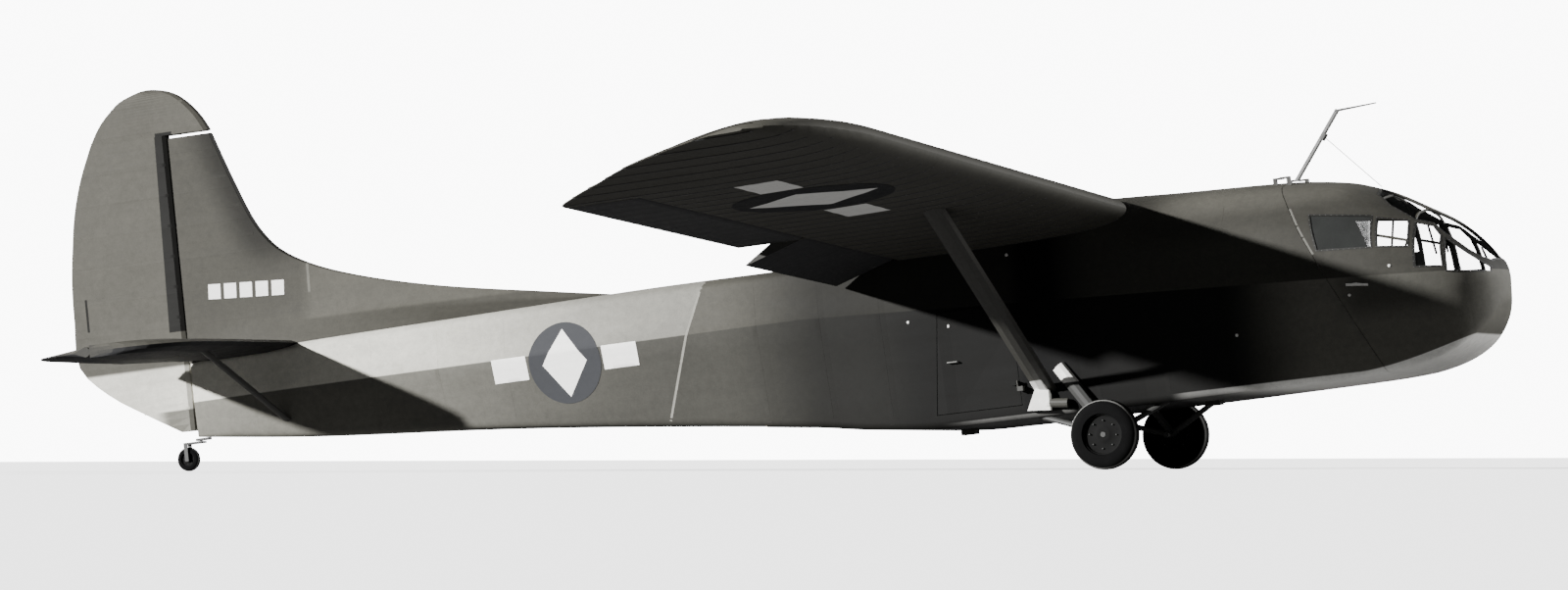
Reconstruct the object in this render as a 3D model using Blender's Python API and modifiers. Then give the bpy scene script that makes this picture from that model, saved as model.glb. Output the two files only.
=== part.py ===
"""A high-wing, strut-braced cargo and troop glider parked on its wheels, as separate solids with real joints.

Everything is modelled in the hull's own frame: metres, +X towards the nose, +Y to the left wing, +Z up from
the cargo floor. One empty, the datum, pitches that frame nose-up so that all three wheels stand on Z = 0.
"""

import math

import bmesh
import bpy
from mathutils import Matrix, Vector

# Parked attitude: hull pitch, and where the hull frame's origin stands
PITCH = math.radians(6.25)
DATUM_X = 0.04981
DATUM_Z = 0.152

GAP = 0.0003
RUNNING = 0.0005
CLEARANCE = 0.006

# Hull: wall, floor and the bulkhead behind the cargo bay
WALL = 0.045
FLOOR_THICK = 0.022
FLOOR_HALF = 0.70
FLOOR_SPLIT = 0.35
FLOOR_REAR_X = 0.50
FLOOR_FRONT_X = 6.30
BELLY_FRAME = 0.030
BULKHEAD_X = 0.30
BULKHEAD_THICK = 0.03
BELLY_PADS_X = (2.10, 4.56)
BELLY_PAD_HALF = 0.07
BELLY_PAD_DEEP = 0.045
TAIL_SOLID_X = BULKHEAD_X - BULKHEAD_THICK
ROOF_LEAN = 0.8
HULL_REAR_X = -6.014

# Hull stations: x, belly z and half width, side crease z and half width, shoulder z and half width,
# roof edge z and half width, crown z
HULL = (
    (-6.014, 0.850, 0.030, 1.20, 0.050, 1.56, 0.050, 1.60, 0.035, 1.60105),
    (-4.80, 0.718, 0.200, 1.20, 0.320, 1.59, 0.290, 1.65, 0.220, 1.6566),
    (-2.80, 0.566, 0.400, 1.20, 0.570, 1.62, 0.500, 1.68, 0.420, 1.6926),
    (-0.60, 0.342, 0.640, 1.20, 0.820, 1.64, 0.740, 1.71, 0.620, 1.7286),
    (0.85, 0.162, 0.780, 1.20, 0.930, 1.645, 0.890, 1.70, 0.800, 1.735),
    (1.40, 0.078, 0.830, 1.18, 0.950, 1.64, 0.930, 1.72, 0.890, 1.76),
    (2.20, 0.005, 0.880, 1.15, 0.970, 1.60, 0.9597, 1.86, 0.930, 1.93),
    (3.10, 0.000, 0.900, 1.10, 0.972, 1.57, 0.9597, 1.98, 0.930, 2.05),
    (4.00, 0.000, 0.900, 1.05, 0.972, 1.55, 0.9597, 1.95, 0.900, 2.025),
    (4.45, 0.000, 0.900, 1.02, 0.970, 1.52, 0.940, 1.93, 0.640, 2.01),
    (5.55, 0.010, 0.895, 0.98, 0.965, 1.46, 0.925, 1.88, 0.580, 1.972),
    (6.10, 0.018, 0.880, 0.96, 0.950, 1.40, 0.895, 1.81, 0.560, 1.905),
    (6.50, 0.036, 0.840, 0.94, 0.920, 1.32, 0.850, 1.67, 0.535, 1.775),
    (6.85, 0.095, 0.760, 0.92, 0.855, 1.22, 0.775, 1.48, 0.490, 1.585),
    (7.15, 0.215, 0.630, 0.90, 0.735, 1.12, 0.660, 1.30, 0.410, 1.395),
    (7.36, 0.385, 0.440, 0.87, 0.545, 1.02, 0.480, 1.11, 0.290, 1.185),
    (7.46, 0.525, 0.290, 0.85, 0.370, 0.95, 0.320, 1.00, 0.190, 1.040),
    (7.51, 0.640, 0.130, 0.81, 0.160, 0.86, 0.140, 0.90, 0.090, 0.915),
)

# Seam on which the nose opens: a plane that leans aft towards the roof
SEAM_FOOT_X = 6.522
SEAM_SLOPE = 0.495
SEAM_HALF_GAP = 0.003

# Troop benches along the cargo bay
BENCH_X = (2.30, 5.30)
BENCH_Y = 0.52
BENCH_WIDE = 0.32
BENCH_Z = 0.48
BENCH_THICK = 0.03

# Nose fittings
NOSE_HINGE_Z = 1.99
NOSE_PIN = 0.012
NOSE_KNUCKLE_Y = (0.22, 0.28, 0.34)
NOSE_ARM = 0.11
NOSE_POST = 0.05
NOSE_POST_DEEP = 0.12
NOSE_CAP_X = 7.42
# Plan outline of the left half of the windshield's opening: x, y
WINDSHIELD = (
    (6.42, 0.02),
    (6.54, 0.33),
    (6.66, 0.415),
    (6.82, 0.425),
    (7.00, 0.39),
    (7.16, 0.34),
    (7.38, 0.205),
    (7.38, 0.02),
)
WINDSHIELD_REAR_X = 6.10
GLAZING_REAR_X = 5.55
GLAZING_THICK = 0.005
GLAZING_SEAM = 0.05
PANEL_X = 7.03
PANEL_Z = (0.62, 0.86)
PANEL_HALF = 0.36
PANEL_THICK = 0.02
PANEL_STAND_HALF = (0.03, 0.07)
COLUMN_X = 6.84
COLUMN_Z = 0.66
YOKE_R = 0.11
YOKE_RIM = 0.011
YOKE_RIM_DEEP = 0.008
YOKE_REACH = (-0.07, 0.0, 0.02)
YOKE_SHAFT_R = 0.014
COLUMN_R = 0.022
COLUMN_BAR_R = 0.018
COCKPIT_FLOOR_X = (6.49, 7.12)
COCKPIT_FLOOR_HALF = 0.50
SEAT_Y = 0.33
SEAT_WIDE = 0.44
MAST_FOOT_X = 5.60
MAST_CHORD = 0.045
MAST_THICK = 0.022
MAST_COLLAR_R = 0.026
PITOT_TIP = (6.45, 0.0, 2.60)
PITOT_R = 0.012
PITOT_TIP_R = 0.007
MAST_TOP = (6.07, 0.0, 2.585)
MAST_BALL = (5.912, 0.0, 2.348)
STAY_END_X = 6.417
STAY_R = 0.004

# Side doors
DOOR_HINGE_Y = 0.985
DOOR_PIN = 0.009
DOOR_HINGES = (0.32, 0.92)
LUG = 0.05
DOOR_REAR_X = 2.16
DOOR_FRONT_X = 2.95
DOOR_SILL_Z = 0.14
DOOR_TOP_Z = 1.10

# Wing
WING_ROOT_Y = 0.96
WING_LE_X = 4.197
WING_LE_Z = 1.850
CHORD = 3.0
INCIDENCE = math.radians(4.0)
DIHEDRAL = math.radians(3.2)
THICKNESS = 0.13
CAMBER = 0.025
CAMBER_AT = 0.40
# Tip outline: span position, leading edge and trailing edge behind the root's leading edge
WING_STATIONS = (
    (0.96, 0.0, 3.0),
    (7.53, 0.0, 3.0),
    (7.92, 0.005, 2.74),
    (8.40, 0.050, 2.29),
    (8.80, 0.120, 1.92),
    (9.22, 0.270, 1.34),
    (9.40, 0.400, 1.04),
    (9.475, 0.560, 0.86),
)
HINGE_AT = 0.80
AILERON_Y = (3.42, 7.46)
FLAP_Y = (1.00, 3.38)
FLAP_DROOP = math.radians(17.0)

# Wing struts: foot on the hull's lower flank, head under the wing
STRUT_FOOT_X = 3.20
STRUT_FOOT_Z = 0.22
STRUT_HEAD_X = 3.34
STRUT_HEAD_Y = 4.0
STRUT_CHORD = 0.22
STRUT_THICK = 0.075
SEAT_GAP = 0.0008
FOOT_SINK = 0.06
# Plate at each strut's foot, and the damper that runs forward from it
CUFF = ((3.02, 0.075), (3.26, 0.055), (3.27, 0.20), (3.235, 0.33), (3.20, 0.33), (3.11, 0.26))
CUFF_Y = (0.90, 0.975)
DAMPER_START = (3.22, 0.945, 0.125)
DAMPER_RUN = (0.20, 0.0, -0.02)
DAMPER_R = 0.045

# Fin and rudder
RUDDER_HINGE_X = -6.08
RUDDER_NOSE = 0.060
FIN_TOP_Z = 3.87
FIN_LEAST = 0.02
RUDDER_HINGES = (1.85, 2.70, 3.60)
PAD_HALF = 0.022
# Fin leading edge with its dorsal ridge: x, z
FIN_RIDGE = (
    (-1.30, 1.72),
    (-2.07, 1.845),
    (-3.35, 2.07),
    (-4.38, 2.345),
    (-4.90, 2.60),
    (-5.15, 2.88),
    (-5.36, 3.34),
    (-5.56, 3.87),
)
# Rudder outline aft of the hinge: z, trailing edge x
RUDDER_TE = (
    (0.92, -6.20),
    (1.13, -6.57),
    (1.375, -6.965),
    (1.69, -7.265),
    (2.15, -7.275),
    (2.55, -7.26),
    (2.90, -7.215),
    (3.23, -7.158),
    (3.57, -7.054),
    (3.90, -6.905),
)
# Horn balance above the fin: z, leading edge x, trailing edge x
HORN = (
    (3.905, -5.555, -6.90),
    (4.03, -5.625, -6.825),
    (4.13, -5.70, -6.745),
    (4.22, -5.785, -6.645),
    (4.30, -5.89, -6.54),
    (4.355, -6.02, -6.39),
    (4.38, -6.14, -6.29),
)

# Tailplane
TAILPLANE_Z = 1.650
TAILPLANE_THICK = 0.12
TAILPLANE_HINGE_X = -5.86
ELEVATOR_NOSE = 0.050
# Stabiliser leading edge: y, x
TAILPLANE_LE = ((0.30, -4.74), (1.60, -4.80), (2.30, -4.90), (2.58, -5.10), (2.70, -5.42), (2.72, -5.80))
# Elevator trailing edge: y, x
ELEVATOR_TE = ((0.14, -6.02), (0.46, -6.58), (2.10, -6.56), (2.50, -6.44), (2.66, -6.20), (2.70, -5.98))
ELEVATOR_HINGES = (0.60, 1.50, 2.35)

# Tailplane braces
BRACE_FOOT_X = -4.93
BRACE_FOOT_Z = 0.90
BRACE_HEAD_X = -5.16
BRACE_HEAD_Y = 1.50
BRACE_CHORD = 0.09
BRACE_THICK = 0.035

# Running gear
GEAR_INNER_Y = 0.955
GEAR_STRUT_R = (0.036, 0.028, 0.028)
GEAR_STRUT_TOP = (3.36, 0.95, 0.46)
GEAR_FORE_FOOT = (0.55, 0.74, 0.030)
GEAR_AFT_FOOT = (-0.75, 0.80, 0.030)
SLEEVE_SHARE = 0.62
SLEEVE_CHORD = 0.13
SLEEVE_THICK = 0.085
AXLE_INNER_Y = 0.80
AXLE_BEYOND = 0.07
AXLE_BORE = 0.026
WHEEL_SIDES = 40
WHEEL_X = 3.805
WHEEL_R = 0.33
WHEEL_WIDTH = 0.21
WHEEL_Y = 1.12
TAIL_WHEEL_X = -6.19
TAIL_WHEEL_R = 0.12
TAIL_WHEEL_WIDTH = 0.075
FORK_AXIS_X = -6.00
FORK_SIDE_GAP = 0.006
FORK_PLATE = 0.012
FORK_CROWN = 0.020
SPINDLE_R = 0.014
TAIL_BORE = 0.012

# Steps of a smooth outline from one given point to the next, and of an airfoil's surface
OUTLINE_STEPS = 3
AIRFOIL_STEPS = 10
SMOOTH_BELOW = math.radians(40.0)

OLIVE = (0.165, 0.160, 0.125)
GREY = (0.30, 0.30, 0.30)
RUBBER = (0.03, 0.03, 0.03)
PLYWOOD = (0.35, 0.26, 0.16)
BENCH_WOOD = (0.42, 0.31, 0.19)
SEAT_BROWN = (0.20, 0.16, 0.11)
PANEL_BLACK = (0.05, 0.05, 0.05)
GLASS = (0.75, 0.80, 0.80)
GLASS_ALPHA = 0.25


def clear_scene():
    for item in list(bpy.data.objects):
        bpy.data.objects.remove(item, do_unlink=True)


def new_collection(name):
    found = bpy.data.collections.new(name)
    bpy.context.scene.collection.children.link(found)
    return found


def finish(name, colour, roughness, alpha):
    """A node's own material."""
    made = bpy.data.materials.new(name)
    made.use_nodes = True
    shader = made.node_tree.nodes["Principled BSDF"]
    shader.inputs["Base Color"].default_value = (*colour, 1.0)
    shader.inputs["Roughness"].default_value = roughness
    shader.inputs["Metallic"].default_value = 0.0
    shader.inputs["Alpha"].default_value = alpha
    return made


def smooth_rows(rows, steps=OUTLINE_STEPS):
    """Rows on a smooth curve through the given rows, with some steps from each to the next."""
    points = [Vector(row) for row in rows]
    spans = [(far - near).length for near, far in zip(points, points[1:])]
    ways = []
    for index in range(len(points)):
        low = max(index - 1, 0)
        high = min(index + 1, len(points) - 1)
        ways.append((points[high] - points[low]) / sum(spans[low:high]))
    made = []
    for index, (near, far, span) in enumerate(zip(points, points[1:], spans)):
        for step in range(steps):
            t = step / steps
            ends = near * (2 * t**3 - 3 * t**2 + 1) + far * (3 * t**2 - 2 * t**3)
            bends = ways[index] * (t**3 - 2 * t**2 + t) + ways[index + 1] * (t**3 - t**2)
            made.append(tuple(ends + bends * span))
    made.append(tuple(points[-1]))
    return made


class Workshop:
    """Holds the datum and the two collections, and puts each object into place."""

    def __init__(self):
        self.parts = new_collection("cargo_glider")
        self.cutters = new_collection("cutters")
        self.datum = bpy.data.objects.new("datum", None)
        self.datum.location = (DATUM_X, 0.0, DATUM_Z)
        self.datum.rotation_euler = (0.0, -PITCH, 0.0)
        self.parts.objects.link(self.datum)
        bpy.context.view_layer.update()

    def place(self, mesh, name, pivot=(0.0, 0.0, 0.0), collection=None):
        pivot = Vector(pivot)
        mesh.transform(Matrix.Translation(-pivot))
        made = bpy.data.objects.new(name, mesh)
        (collection or self.parts).objects.link(made)
        made.parent = self.datum
        made.location = pivot
        return made

    def node(self, mesh, name, colour, roughness, pivot=(0.0, 0.0, 0.0), alpha=1.0, round_form=False):
        made = self.place(mesh, name, pivot)
        if round_form:
            mesh.shade_smooth()
            mesh.set_sharp_from_angle(angle=SMOOTH_BELOW)
        mesh.materials.append(finish(name, colour, roughness, alpha))
        return made

    def cutter(self, mesh, name):
        made = self.place(mesh, name, collection=self.cutters)
        made.hide_render = True
        made.display_type = "WIRE"
        return made


def boolean(target, operation, cutter):
    modifier = target.modifiers.new(operation.lower(), "BOOLEAN")
    modifier.operation = operation
    modifier.solver = "EXACT"
    modifier.object = cutter
    return modifier


def to_mesh(form, name):
    bmesh.ops.recalc_face_normals(form, faces=form.faces)
    mesh = bpy.data.meshes.new(name)
    form.to_mesh(mesh)
    form.free()
    return mesh


def loft(rings, name, mirrored=False):
    """A closed solid through rings of equally many points, with flat caps.

    Its quads are split on one diagonal, and on a mirrored ring the right half takes the other diagonal.
    """
    form = bmesh.new()
    rows = [[form.verts.new(point) for point in ring] for ring in rings]
    count = len(rows[0])
    for near, far in zip(rows, rows[1:]):
        for index in range(count):
            after = (index + 1) % count
            corners = (near[index], near[after], far[after], far[index])
            if mirrored and index >= count // 2 - 1:
                corners = corners[1:] + corners[:1]
            form.faces.new(corners)
    form.faces.new(rows[0])
    form.faces.new(rows[-1])
    bmesh.ops.triangulate(form, faces=form.faces, quad_method="FIXED")
    return to_mesh(form, name)


def box(low, high, name):
    form = bmesh.new()
    bmesh.ops.create_cube(form, size=1.0)
    low = Vector(low)
    high = Vector(high)
    size = high - low
    bmesh.ops.scale(form, verts=form.verts, vec=size)
    bmesh.ops.translate(form, verts=form.verts, vec=(low + high) / 2)
    return to_mesh(form, name)


def rod(start, end, radius, name, sides=12, end_radius=None):
    """A round bar between two points."""
    start = Vector(start)
    end = Vector(end)
    form = bmesh.new()
    bmesh.ops.create_cone(
        form,
        cap_ends=True,
        segments=sides,
        radius1=radius,
        radius2=radius if end_radius is None else end_radius,
        depth=(end - start).length,
    )
    turn = (end - start).to_track_quat("Z", "Y").to_matrix().to_4x4()
    bmesh.ops.transform(form, verts=form.verts, matrix=Matrix.Translation((start + end) / 2) @ turn)
    return to_mesh(form, name)


def mirrored_point(point, side):
    """A point given for the left, on the side wanted."""
    return Vector((point[0], side * point[1], point[2]))


def slid(point, run, seat):
    """The point moved along the run until it lies on a seat plane, given by a point and a normal."""
    if seat is None:
        return point
    place, normal = seat
    return point + run * ((place - point).dot(normal) / run.dot(normal))


def blade(start, end, chord, thick, name, seats=(None, None)):
    """A streamlined strut between two points, its chord fore and aft, each end cut to its seat's plane."""
    start = Vector(start)
    end = Vector(end)
    run = (end - start).normalized()
    fore = Vector((1.0, 0.0, 0.0))
    fore = (fore - run * fore.dot(run)).normalized()
    side = run.cross(fore)
    half = ((0.5, 0.0), (0.38, 0.36), (0.12, 0.5), (-0.2, 0.36), (-0.5, 0.0))
    outline = half + tuple((a, -b) for a, b in reversed(half[1:-1]))
    rings = []
    for place, seat in zip((start, end), seats):
        rings.append([slid(place + fore * chord * a + side * thick * b, run, seat) for a, b in outline])
    return loft(rings, name)


def joined(shop, target, mesh, name):
    """Fuses one more closed mesh into a node."""
    boolean(target, "UNION", shop.cutter(mesh, name))


def hull_at(x):
    """Hull station values at x, between the rows of HULL."""
    rows = HULL
    x = min(max(x, rows[0][0]), rows[-1][0])
    for low, high in zip(rows, rows[1:]):
        if x <= high[0]:
            share = (x - low[0]) / (high[0] - low[0])
            return [a + (b - a) * share for a, b in zip(low, high)]
    return list(rows[-1])


def hull_ring(x, inset=0.0, floor=0.0):
    """Ring of the hull's skin at x, moved inwards by inset, its belly lifted by floor."""
    _, zb, wb, zm, wm, zs, ws, zr, wr, zt = hull_at(x)
    half = [
        (wb - inset, zb + inset + floor),
        (wm - inset, zm),
        (ws - inset, zs - inset * 0.3),
        (wr - inset * 0.8, zr - inset),
    ]
    left = [Vector((x, y, z)) for y, z in half]
    right = [Vector((x, -y, z)) for y, z in reversed(half)]
    return left + [Vector((x, 0.0, zt - inset))] + right + [Vector((x, 0.0, zb + inset + floor))]


def hull_loft(low, high, name, inset=0.0, floor=0.0):
    stations = [low] + [row[0] for row in HULL if low < row[0] < high] + [high]
    return loft([hull_ring(x, inset, floor) for x in stations], name, mirrored=True)


def seam_block(ahead, name, extra=0.0):
    """Everything ahead of, or behind, the nose seam."""
    reach = 9.0
    offset = SEAM_HALF_GAP + extra
    side = 1.0 if ahead else -1.0

    def edge(z):
        return SEAM_FOOT_X - SEAM_SLOPE * z + side * offset

    rings = []
    for y in (-2.0, 2.0):
        rings.append(
            [
                Vector((edge(-1.0), y, -1.0)),
                Vector((edge(3.0), y, 3.0)),
                Vector((edge(3.0) + side * reach, y, 3.0)),
                Vector((edge(-1.0) + side * reach, y, -1.0)),
            ]
        )
    return loft(rings, name)


def prism_y(outline, low, high, name):
    """A side-view outline of x, z points extruded from y = low to y = high."""
    return loft([[Vector((x, y, z)) for x, z in outline] for y in (low, high)], name)


def prism_z(outline, low, high, name):
    """A plan outline of x, y points extruded from z = low to z = high."""
    return loft([[Vector((x, y, z)) for x, y in outline] for z in (low, high)], name)


def door_outline(grow):
    """Side-view outline of a door or of its opening: the rear edge leans forward."""
    lean = 0.13
    return (
        (DOOR_REAR_X - lean / 2 - grow, DOOR_SILL_Z - grow),
        (DOOR_FRONT_X + grow, DOOR_SILL_Z - grow),
        (DOOR_FRONT_X + grow, DOOR_TOP_Z + grow),
        (DOOR_REAR_X + lean / 2 - grow, DOOR_TOP_Z + grow),
    )


def window_outlines():
    """Side-view outlines of the nose windows, from the rear side window to the windshield."""
    return (
        ((6.03, 1.17), (6.50, 1.12), (6.48, 1.50), (5.91, 1.57)),
        ((6.56, 1.12), (6.81, 1.08), (6.79, 1.42), (6.54, 1.47)),
        ((6.87, 0.985), (7.10, 0.965), (7.07, 1.25), (7.00, 1.345), (6.86, 1.39)),
        ((7.15, 0.92), (7.40, 0.89), (7.40, 0.96), (7.13, 1.20)),
    )


def belly_section(x):
    _, zb, wb = hull_at(x)[:3]
    inner = zb + WALL + BELLY_FRAME
    return [(wb, zb), (wb - WALL, inner), (WALL - wb, inner), (-wb, zb)]


def side_section(x, side):
    """Flank from the belly's edge to the roof's edge, with its inner face a wall's thickness inside."""
    _, zb, wb, zm, wm, zs, ws, zr, wr, _ = hull_at(x)
    outer = [(wb, zb + GAP), (wm, zm), (ws, zs), (wr, zr - GAP)]
    inner = [
        (wr - WALL * ROOF_LEAN, zr - WALL - GAP),
        (ws - WALL, zs - WALL / 3),
        (wm - WALL, zm),
        (wb - WALL, zb + WALL + BELLY_FRAME + GAP),
    ]
    return [(side * y, z) for y, z in outer + inner]


def roof_section(x):
    zr, wr, zt = hull_at(x)[7:]
    edge = wr - WALL * ROOF_LEAN
    return [(wr, zr), (0.0, zt), (-wr, zr), (-edge, zr - WALL), (0.0, zt - WALL), (edge, zr - WALL)]


def wall(low, high, section, name):
    """A wall of the hull lofted along its stations."""
    stations = [low] + [row[0] for row in HULL if low < row[0] < high] + [high]
    return loft([[Vector((x, y, z)) for y, z in section(x)] for x in stations], name)


def windshield_section(x):
    """The windshield's sheet lies under the roof's inner faces."""
    zr, wr, zt = hull_at(x)[7:]
    edge = wr - WALL * ROOF_LEAN
    half = edge - 0.012
    top = zt - WALL - 2 * GAP
    low = top + (zr - zt) * half / edge
    over = [(-half, low), (0.0, top), (half, low)]
    return over + [(y, z - GLAZING_THICK) for y, z in reversed(over)]


def glazing_section(x, side):
    """A side's glazing is one sheet against the flank's inner face."""
    zm, wm, zs, ws, zr, wr = hull_at(x)[3:9]
    inner = [(wr - WALL * ROOF_LEAN, zr - WALL - 4 * GAP), (ws - WALL, zs - WALL / 3), (wm - WALL, zm)]
    back = [(y - 2 * GAP, z) for y, z in inner]
    front = [(y - 2 * GAP - GLAZING_THICK, z - GLAZING_THICK * 0.4) for y, z in reversed(inner)]
    return [(side * y, z) for y, z in back + front]


def build_hull(shop):
    """Belly, flanks, roof and bulkhead of the cargo bay, with its floor, benches and doors."""
    shop.skin = shop.cutter(hull_loft(HULL_REAR_X, HULL[-1][0], "hull_skin", -SEAT_GAP), "hull_skin")
    behind = shop.cutter(seam_block(False, "behind_seam"), "behind_seam")
    for name, section in (("hull_belly", belly_section), ("hull_roof", roof_section)):
        made = shop.node(wall(BULKHEAD_X, 7.0, section, name), name, OLIVE, 0.75)
        boolean(made, "INTERSECT", behind)
    for side, name in ((1, "left"), (-1, "right")):
        label = "hull_side_" + name
        flank = wall(BULKHEAD_X, 7.0, lambda x: side_section(x, side), label)
        made = shop.node(flank, label, OLIVE, 0.75)
        low, high = sorted((side * 0.70, side * 1.20))
        hole_name = "door_hole_" + name
        hole = shop.cutter(prism_y(door_outline(CLEARANCE), low, high, hole_name), hole_name)
        boolean(made, "INTERSECT", behind)
        boolean(made, "DIFFERENCE", hole)
        door = build_door(shop, side, name)
        door_knuckles(shop, made, door, side, name)
        build_bench(shop, side, name)
    bulkhead = hull_loft(BULKHEAD_X - BULKHEAD_THICK, BULKHEAD_X - GAP, "bulkhead")
    shop.node(bulkhead, "bulkhead", PLYWOOD, 0.8)
    for name, low, high in (
        ("cargo_floor", -FLOOR_SPLIT, FLOOR_SPLIT),
        ("cargo_floor_left", FLOOR_SPLIT + GAP, FLOOR_HALF),
        ("cargo_floor_right", -FLOOR_HALF, -FLOOR_SPLIT - GAP),
    ):
        board = floor_board(FLOOR_REAR_X, FLOOR_FRONT_X, low, high, name)
        shop.node(board, name, PLYWOOD, 0.8)
    for index, x in enumerate(BELLY_PADS_X):
        half = BELLY_PAD_HALF
        pad = box((x - half, -half, -BELLY_PAD_DEEP), (x + half, half, WALL / 2 + hull_at(x)[1]), "pad")
        joined(shop, bpy.data.objects["hull_belly"], pad, "belly_pad" + str(index))


def floor_top(x):
    """Height just above the floor boards at x."""
    return hull_at(x)[1] + WALL + BELLY_FRAME + FLOOR_THICK + 2 * GAP


def floor_board(rear, front, low, high, name):
    """A board from y = low to y = high that lies on the belly's frames."""
    stations = [rear] + [row[0] for row in HULL if rear < row[0] < front] + [front]
    under = [(x, hull_at(x)[1] + WALL + BELLY_FRAME + GAP) for x in stations]
    over = [(x, z + FLOOR_THICK) for x, z in reversed(under)]
    return prism_y(under + over, low, high, name)


def build_bench(shop, side, name):
    """A plank bench on four legs along one wall of the cargo bay."""
    low, high = sorted((side * (BENCH_Y - BENCH_WIDE / 2), side * (BENCH_Y + BENCH_WIDE / 2)))
    plank = box((BENCH_X[0], low, BENCH_Z), (BENCH_X[1], high, BENCH_Z + BENCH_THICK), "bench")
    bench = shop.node(plank, "bench_" + name, BENCH_WOOD, 0.7)
    for index in range(4):
        x = BENCH_X[0] + 0.12 + (BENCH_X[1] - BENCH_X[0] - 0.24) * index / 3
        floor_z = max(floor_top(x - 0.02), floor_top(x + 0.02))
        leg = box((x - 0.02, low + 0.03, floor_z), (x + 0.02, high - 0.03, BENCH_Z + BENCH_THICK / 2), "leg")
        joined(shop, bench, leg, "bench_leg_" + name + str(index))


def hull_half_width(x, z):
    """Half width of the hull's flank at a height below its shoulder."""
    _, zb, wb, zm, wm, zs, ws = hull_at(x)[:7]
    if z < zm:
        return wb + (wm - wb) * (z - zb) / (zm - zb)
    return wm + (ws - wm) * (z - zm) / (zs - zm)


def door_knuckles(shop, flank, door, side, name):
    """Two outside hinges: a pin with its lug on the flank, and a lug on the door that bears on the pin."""
    x = DOOR_FRONT_X + CLEARANCE / 2
    outer = DOOR_HINGE_Y + DOOR_PIN
    for index, z in enumerate(DOOR_HINGES):
        inner = hull_half_width(x, z) - WALL / 2
        low, high = sorted((side * inner, side * outer))
        tag = name + str(index)
        pin = rod((x, side * DOOR_HINGE_Y, z - LUG), (x, side * DOOR_HINGE_Y, z + LUG), DOOR_PIN, "pin", 10)
        joined(shop, flank, pin, "door_pin_" + tag)
        fixed = box((x, low, z - LUG), (x + LUG, high, z - CLEARANCE), "lug")
        joined(shop, flank, fixed, "door_lug_" + tag)
        swung = box((x - LUG - DOOR_PIN, low, z + CLEARANCE), (x - DOOR_PIN - RUNNING, high, z + LUG), "lug")
        joined(shop, door, swung, "door_strap_" + tag)


def build_door(shop, side, name):
    """One side door, cut from the same wall, hung on its front edge."""
    pivot = (DOOR_FRONT_X + CLEARANCE / 2, side * DOOR_HINGE_Y, (DOOR_SILL_Z + DOOR_TOP_Z) / 2)
    leaf = wall(DOOR_REAR_X - 0.3, DOOR_FRONT_X + 0.3, lambda x: side_section(x, side), "door")
    door = shop.node(leaf, "side_door_" + name, OLIVE, 0.75, pivot=pivot)
    low, high = sorted((side * 0.72, side * 1.20))
    keep = shop.cutter(prism_y(door_outline(0.0), low, high, "door_keep_" + name), "door_keep_" + name)
    boolean(door, "INTERSECT", keep)
    return door


def build_tail_cone(shop):
    rear = hull_loft(HULL_REAR_X, TAIL_SOLID_X - GAP, "rear_fuselage")
    shop.node(rear, "rear_fuselage", OLIVE, 0.75)


def airfoil(share):
    """Upper and lower surface heights, as shares of the chord, at a share of the chord."""
    root = math.sqrt(max(share, 0.0))
    shape = 0.2969 * root - 0.1260 * share - 0.3516 * share**2 + 0.2843 * share**3 - 0.1015 * share**4
    half = 5 * THICKNESS * shape
    if share < CAMBER_AT:
        line = CAMBER / CAMBER_AT**2 * (2 * CAMBER_AT * share - share**2)
    else:
        line = CAMBER / (1 - CAMBER_AT) ** 2 * (1 - 2 * CAMBER_AT + 2 * CAMBER_AT * share - share**2)
    return line + half, line - half


def wing_point(side, y, aft, up):
    """Hull-frame point for a span position, a distance behind the root's leading edge and a height."""
    return Vector(
        (
            WING_LE_X - aft * math.cos(INCIDENCE),
            side * y,
            WING_LE_Z - aft * math.sin(INCIDENCE) + up + (y - WING_ROOT_Y) * math.tan(DIHEDRAL),
        )
    )


def chord_shares():
    """Shares of the chord at the wing's points, closer together towards both edges."""
    return [0.5 - 0.5 * math.cos(math.pi * step / AIRFOIL_STEPS) for step in range(AIRFOIL_STEPS + 1)]


def wing_ring(side, y, lead, trail):
    chord = trail - lead
    shares = chord_shares()
    upper = [wing_point(side, y, lead + chord * s, chord * airfoil(s)[0]) for s in shares]
    lower = [wing_point(side, y, lead + chord * s, chord * airfoil(s)[1]) for s in reversed(shares[1:-1])]
    return upper + lower


def hinge_height():
    upper, lower = airfoil(HINGE_AT)
    return CHORD * (upper + lower) / 2, CHORD * (upper - lower) / 2


def surface_mesh(side, span, droop, name):
    """A flap or aileron: a round nose on its hinge line and flat flanks to the trailing edge."""
    middle, nose = hinge_height()
    tail = CHORD * (1 - HINGE_AT)
    ring = []
    for step in range(9):
        angle = math.pi / 2 + math.pi * step / 8
        ring.append((-nose * math.cos(angle), nose * math.sin(angle)))
    ring += [(-tail, -middle - 0.004), (-tail, -middle + 0.004)]
    turn = INCIDENCE + droop
    rings = []
    for y in span:
        centre = wing_point(side, y, CHORD * HINGE_AT, middle)
        place = Matrix.Translation(centre) @ Matrix.Rotation(-turn, 4, "Y")
        rings.append([place @ Vector((a, 0.0, b)) for a, b in ring])
    return loft(rings, name)


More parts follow.
